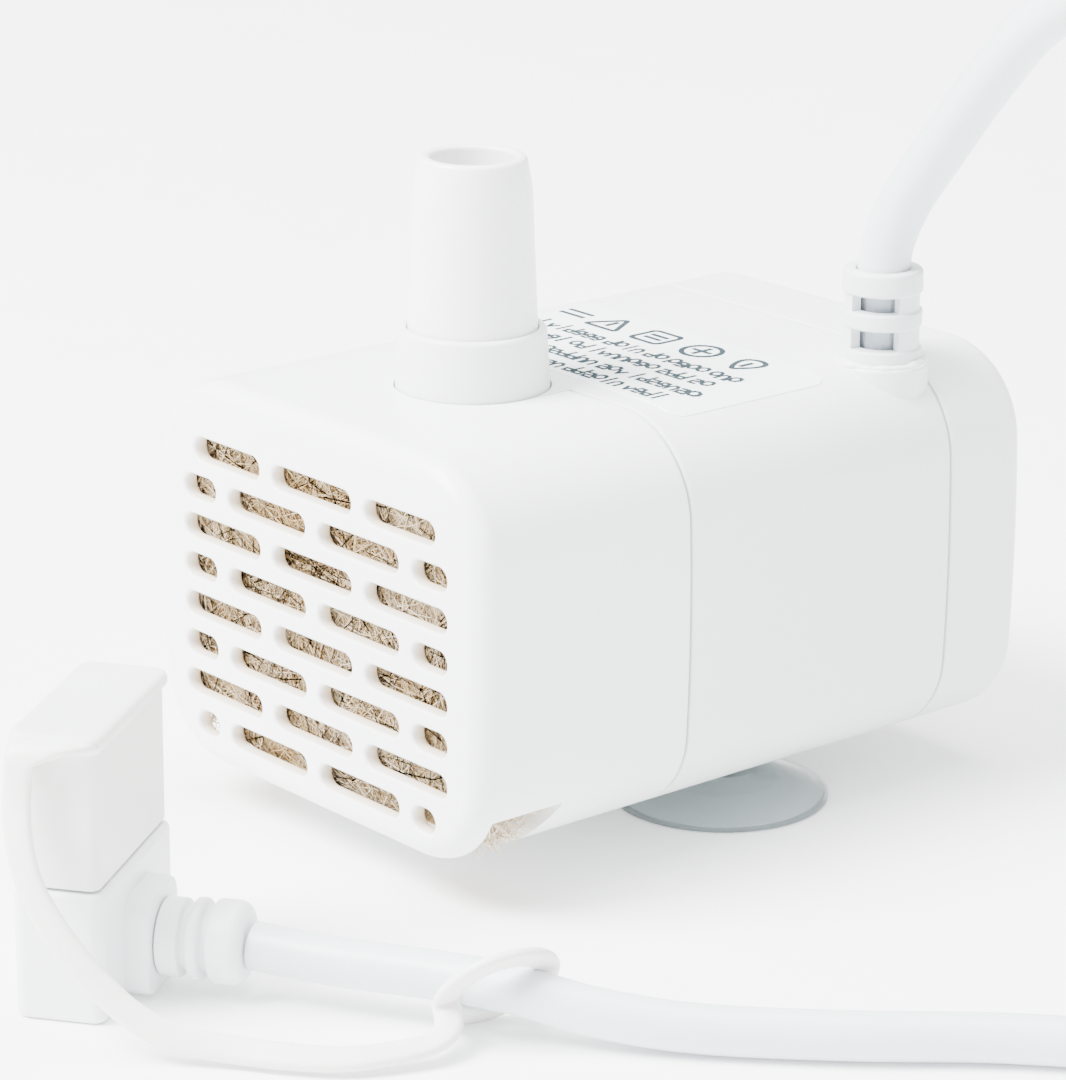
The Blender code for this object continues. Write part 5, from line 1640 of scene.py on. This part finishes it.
# --- plug ---------------------------------------------------------------------------------
@dataclass
class Plug:
    """The right-angle plug: block, neck, ribbed boot, shell, cap and its strap."""

    shop: Workshop
    turn: float = 36.0
    thick: float = 6.6 * MM
    wide: float = 15.6 * MM
    boot_z: float = 3.9 * MM
    strap_run: tuple[Point, ...] = (
        (0.01124, -0.06052, 0.02035), (0.01195, -0.06152, 0.02035), (0.01230, -0.06200, 0.0197),
        (0.01239, -0.06213, 0.0180), (0.0127, -0.0625, 0.0162), (0.0138, -0.0630, 0.0136),
        (0.0152, -0.0629, 0.0108), (0.0173, -0.0619, 0.0076), (0.0192, -0.0606, 0.0050),
        (0.0214, -0.0592, 0.0030), (0.0236, -0.0575, 0.0018), (0.0263, -0.0550, 0.0012),
        (0.0296, -0.0525, 0.0011), (0.0323, -0.0499, 0.0011), (0.0339, -0.0466, 0.0012),
        (0.0346, -0.0440, 0.0014), (0.0339, -0.0422, 0.0018), (0.0324, -0.0406, 0.0023))
    ring_centre: Point = (0.0339, -0.0380, 0.00368)
    ring_radius: float = 3.72 * MM
    ring_facing: Point = (0.76, -0.17, -0.62)

    def __post_init__(self) -> None:
        """Read the plug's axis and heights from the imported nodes."""
        low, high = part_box("usb_shell")
        self.place = Matrix.Translation(((low.x + high.x) / 2, (low.y + high.y) / 2, 0.0)) \
            @ Matrix.Rotation(math.radians(self.turn), 4, "Z")
        self.height = low.z - 0.2 * MM
        self.shell_top = high.z
        self.cap_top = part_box("plug_cap")[1].z

    def tower(self, name: str, half_a: float, half_b: float, radius: float,
              levels: Sequence[tuple[float, float]]) -> bpy.types.Object:
        """Make a stack of rounded rectangles in the plug's own place.

        Args:
            name: the object's name.
            half_a: half of the short side.
            half_b: half of the long side.
            radius: the corner radius.
            levels: (z, inset) pairs.

        Returns:
            The solid.
        """
        z, inset = np.asarray(levels, float).T
        flat = rounded_rectangle(half_a - inset, half_b - inset,
                                 np.maximum(radius - inset, 0.15 * MM), 8, 4)
        rings = np.concatenate([flat, np.broadcast_to(z[:, None, None], (*flat.shape[:2], 1))],
                               axis=-1)
        return skin(name, moved(rings, self.place))

    @staticmethod
    def rounded_ends(low: float, high: float, e: float,
                     steps: int = 5) -> list[tuple[float, float]]:
        """Level a block whose two ends have rounded edges.

        Args:
            low: its low end.
            high: its high end.
            e: the radius of its edges.
            steps: how many spans each edge has.

        Returns:
            (z, inset) levels.
        """
        angle = np.linspace(0, np.pi / 2, steps + 1)
        z = np.concatenate([low + e * (1 - np.cos(angle)), high - e * (1 - np.cos(angle[::-1]))])
        inset = np.concatenate([e * (1 - np.sin(angle)), e * (1 - np.sin(angle[::-1]))])
        return list(zip(z.tolist(), inset.tolist()))

    def body(self) -> bpy.types.Object:
        """Build the moulded block with the squarish neck that carries the boot.

        Returns:
            The block.
        """
        housing = self.tower("plug_block", self.thick / 2, self.wide / 2, 1.0 * MM,
                             self.rounded_ends(0.0, self.height, 0.55 * MM))
        x = np.array([self.thick / 2 - 0.8 * MM, 4.75 * MM, 5.0 * MM, 5.1 * MM])
        inset = np.array([0.0, 0.0, 0.12 * MM, 0.35 * MM])
        flat = rounded_rectangle(3.4 * MM - inset, 3.7 * MM - inset, 1.6 * MM - inset, 8, 4)
        neck = np.stack([np.broadcast_to(x[:, None], flat.shape[:2]), flat[..., 0],
                         flat[..., 1] + self.boot_z], axis=-1)
        weld(housing, skin("neck", moved(neck, self.place)))
        return self.shop.dress(housing, "plug", "pump", ["plug_body"])

    def boot(self) -> bpy.types.Object:
        """Build the ribbed boot: a stub, two thin ribs and a thick end ring.

        Returns:
            The boot.
        """
        corners = np.array([(0.0, 5.2), (2.8, 5.2), (2.8, 6.75), (2.2, 6.85), (2.2, 7.35),
                            (2.95, 7.45), (2.95, 8.2), (2.2, 8.3), (2.2, 8.85), (3.0, 8.95),
                            (3.0, 10.75), (2.55, 11.25), (1.9, 11.3), (0.0, 11.3)]) * MM
        reach = np.array([0.0, 0.2, 0.25, 0.1, 0.1, 0.28, 0.28, 0.1, 0.1, 0.35, 0.5, 0.3, 0.1,
                          0.0]) * MM
        lay = self.place @ Matrix.Translation((0, 0, self.boot_z)) \
            @ Matrix.Rotation(math.pi / 2, 4, "Y")
        rings = moved(turned(softened(corners, reach), segments=80), lay)
        return self.shop.dress(skin("boot", rings), "plug", "pump", ["plug_boot"])

    def shell(self) -> bpy.types.Object:
        """Build the folded steel shell with four latch windows.

        Returns:
            The shell.
        """
        shell = self.tower("contact_shell", 2.25 * MM, 6.0 * MM, 0.5 * MM,
                           [(self.height + 0.2 * MM, 0.0), (self.shell_top - 0.1 * MM, 0.0),
                            (self.shell_top, 0.08 * MM)])
        mouth = self.tower("mouth", 1.95 * MM, 5.7 * MM, 0.3 * MM,
                           [(self.height + 0.9 * MM, 0.0), (self.shell_top + MM, 0.0)])
        windows = [skin("latch", moved(block((-4 * MM, y - 1.2 * MM, self.height + 5.0 * MM),
                                             (4 * MM, y + 1.2 * MM, self.height + 7.1 * MM)),
                                       self.place)) for y in (-2.9 * MM, 2.9 * MM)]
        cut(shell, mouth, *windows)
        return self.shop.dress(shell, "usb_steel", "pump", ["usb_shell"])

    def cap(self) -> bpy.types.Object:
        """Build the soft cap with a round flange at its closed end.

        Returns:
            The cap, its faces below the flange in a greyer finish: partly the steel showing
            through the cap, partly painted shade.
        """
        low, top = self.height + 0.2 * MM, self.cap_top
        levels = [(low, 0.5 * MM), (low + 0.15 * MM, 0.4 * MM), (top - 1.35 * MM, 0.4 * MM),
                  (top - 1.15 * MM, 0.25 * MM), (top - 1.0 * MM, 0.08 * MM),
                  (top - 0.8 * MM, 0.0), (top - 0.4 * MM, 0.04 * MM), (top - 0.18 * MM, 0.18 * MM),
                  (top - 0.05 * MM, 0.42 * MM), (top, 0.8 * MM)]
        cap = self.tower("contact_cap", 3.4 * MM, 7.9 * MM, 1.2 * MM, levels)
        cut(cap, self.tower("hollow", 2.45 * MM, 6.2 * MM, 0.5 * MM,
                            [(low - MM, 0.0), (top - 0.6 * MM, 0.0)]))
        self.shop.dress(cap, "cap", "cap", ["plug_cap"])
        # faces below the flange take the greyer finish: steel showing through plus painted shade
        cap.data.materials.append(self.shop.finish("cap_body_shade"))
        middles = np.empty(len(cap.data.polygons) * 3)
        cap.data.polygons.foreach_get("center", middles)
        below = middles.reshape(-1, 3)[:, 2] < top - 1.25 * MM
        cap.data.polygons.foreach_set("material_index", below.astype(np.int32))
        return cap

    def strap(self) -> bpy.types.Object:
        """Build the strap and its ring: a rounded flat section carried along the route.

        The section is an oval with axes across and normal to the route; its width
        widens towards the cap, and the ring is the same section turned on a circle.

        Returns:
            The strap, running from the cap to the cord, left on no body.
        """
        facing = Vector(self.ring_facing).to_track_quat("Z", "Y").to_matrix().to_4x4()
        lean = Matrix.Translation(self.ring_centre) @ facing
        end = lean.inverted() @ Vector(self.strap_run[-2])
        end = lean @ (Vector((end.x, end.y, 0.0)).normalized() * self.ring_radius)
        points = spline_through([*self.strap_run[:-1], tuple(end)], 0.9 * MM)
        along = np.gradient(points, axis=0)
        along /= np.linalg.norm(along, axis=1)[:, None]
        gone = np.cumsum(np.linalg.norm(np.diff(points, axis=0, prepend=points[:1]), axis=1))
        flat = (gone / gone[-1])[:, None]
        ease = np.clip((flat - 0.06) / 0.16, 0, 1)
        face = self.place.to_3x3() @ Vector((1.0, 0.0, 0.0))
        toward = np.cross(along, np.asarray(face)) * (1 - ease) + ease * (
            np.array([0.5, -0.86, 0.0]) * (1 - flat) + np.array([0.1, -0.3, 1.0]) * flat)
        normal = toward - along * (toward * along).sum(axis=1)[:, None]
        normal /= np.linalg.norm(normal, axis=1)[:, None]
        across = np.cross(along, normal)
        section = np.linspace(0, 2 * np.pi, 20, endpoint=False)
        a = np.sign(np.cos(section)) * np.abs(np.cos(section)) ** 0.55
        b = np.sign(np.sin(section)) * np.abs(np.sin(section)) ** 0.75
        extra = 2.1 * np.exp(-(gone / (1.9 * MM)) ** 4)[:, None] * MM
        wide = MM + extra
        points = points + np.asarray(face) * extra
        rings = points[:, None] + across[:, None] * (a[None, :] * wide)[..., None] \
            + normal[:, None] * (b * 0.45 * MM)[None, :, None]
        strap = skin("cap_strap", rings)
        oval = np.column_stack([self.ring_radius + 0.92 * MM * a, 0.42 * MM * b])
        loop = skin("strap_ring", moved(turned(oval, segments=72), lean), closed=True)
        weld(strap, loop)
        self.shop.dress(strap, "cap", "", ["cap_tether"], sharp=180.0, weighted=False)
        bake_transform(strap)
        return strap

    def pieces(self) -> list[object]:
        """Build every piece of the plug and name those that go with the cord."""
        kept = ["usb_tongue", *(f"usb_contact_{i}" for i in range(1, 5))]
        return [self.body(), self.boot(), self.shell(), self.cap(), self.strap(), *kept]


# --- studio -------------------------------------------------------------------------------
@dataclass(frozen=True)
class Studio:
    """A pale floor, soft light all round and the camera."""

    shop: Workshop
    lens: float = 144.72
    place: Point = (0.24333, -0.21289, 0.12273)
    right: Point = (0.6459, 0.7634, 0.0061)
    up: Point = (-0.2359, 0.1920, 0.9526)
    back: Point = (0.7260, -0.6167, 0.3042)
    sky: float = 1.75
    lamps: tuple[tuple[str, Point, float, float], ...] = (
        ("key", (-0.30, -0.70, 0.95), 0.6, 88.0),
        ("fill", (0.85, 0.15, 0.55), 0.6, 0.6),
        ("top", (0.0, 0.1, 1.2), 0.8, 26.0))
    floor_reach: float = 3.0

    def camera(self) -> None:
        """Set the camera from its place and its three axes."""
        lens = bpy.data.cameras.new("view")
        lens.lens = self.lens
        lens.sensor_width = 36.0
        lens.clip_start = 0.01
        camera = bpy.data.objects.new("view", lens)
        bpy.context.scene.collection.objects.link(camera)
        axes = Matrix((self.right, self.up, self.back)).transposed().to_4x4()
        camera.matrix_world = Matrix.Translation(self.place) @ axes
        bpy.context.scene.camera = camera

    def lights(self) -> None:
        """Place the sky and the soft lamps."""
        world = bpy.data.worlds.new("studio")
        world.use_nodes = True
        sky = world.node_tree.nodes["Background"]
        sky.inputs["Color"].default_value = (0.98, 0.99, 1.0, 1.0)
        sky.inputs["Strength"].default_value = self.sky
        bpy.context.scene.world = world
        for name, place, size, power in self.lamps:
            lamp = bpy.data.lights.new(name, "AREA")
            lamp.size = size
            lamp.energy = power
            lit = bpy.data.objects.new(name, lamp)
            lit.location = place
            lit.rotation_euler = (Vector(place) - Vector((0, 0, 0.02))).to_track_quat(
                "Z", "Y").to_euler()
            bpy.context.scene.collection.objects.link(lit)

    def floor(self) -> None:
        """Lay the floor."""
        reach = self.floor_reach
        points = np.array([(-reach, -reach, 0), (reach, -reach, 0), (reach, reach, 0),
                           (-reach, reach, 0)], float)
        ground = solid("floor", points, [[0, 1, 2, 3]])
        ground.data.materials.append(self.shop.finish("floor"))


INNER_NODES = (
    "front_bush", "rear_bush", "impeller", "rotor_magnet", "shaft", "head_seal", "stator_core",
    "coil_bobbin_left", "coil_winding_left", "coil_bobbin_right", "coil_winding_right",
    "driver_board", "driver_chip", "smoothing_capacitor", "lead_positive", "lead_negative",
    "resin_seal", "cord_in_gland", "usb_tongue", "usb_contact_1", "usb_contact_2",
    "usb_contact_3", "usb_contact_4",
)


def main() -> None:
    """Build the pump."""
    logging.basicConfig(level=logging.INFO, format="%(name)s: %(message)s")
    shop = Workshop()
    studio = Studio(shop)
    studio.camera()
    case, collar = Case.from_frame(), Collar.from_frame()
    plug, cord = Plug(shop), Cord(shop)
    cord.build([*plug.pieces(), cord.tie()])
    studio.lights()
    studio.floor()
    FrontCover(case, collar, shop).build()
    shells = Shells(case, collar, shop)
    shells.housing()
    shells.rear()
    label = Label(case, shop)
    label.film()
    label.printing()
    SuctionCups(shop).build()
    end = PumpEnd(case, collar, shop)
    end.head()
    end.nozzle()
    pad = FilterPad(case, shop)
    pad.core()
    pad.mat()
    pad.tufts()
    relief = StrainRelief(case, shop)
    relief.sleeve()
    relief.bead()
    shop.redress_nodes(INNER_NODES)


if __name__ == "__main__":
    main()
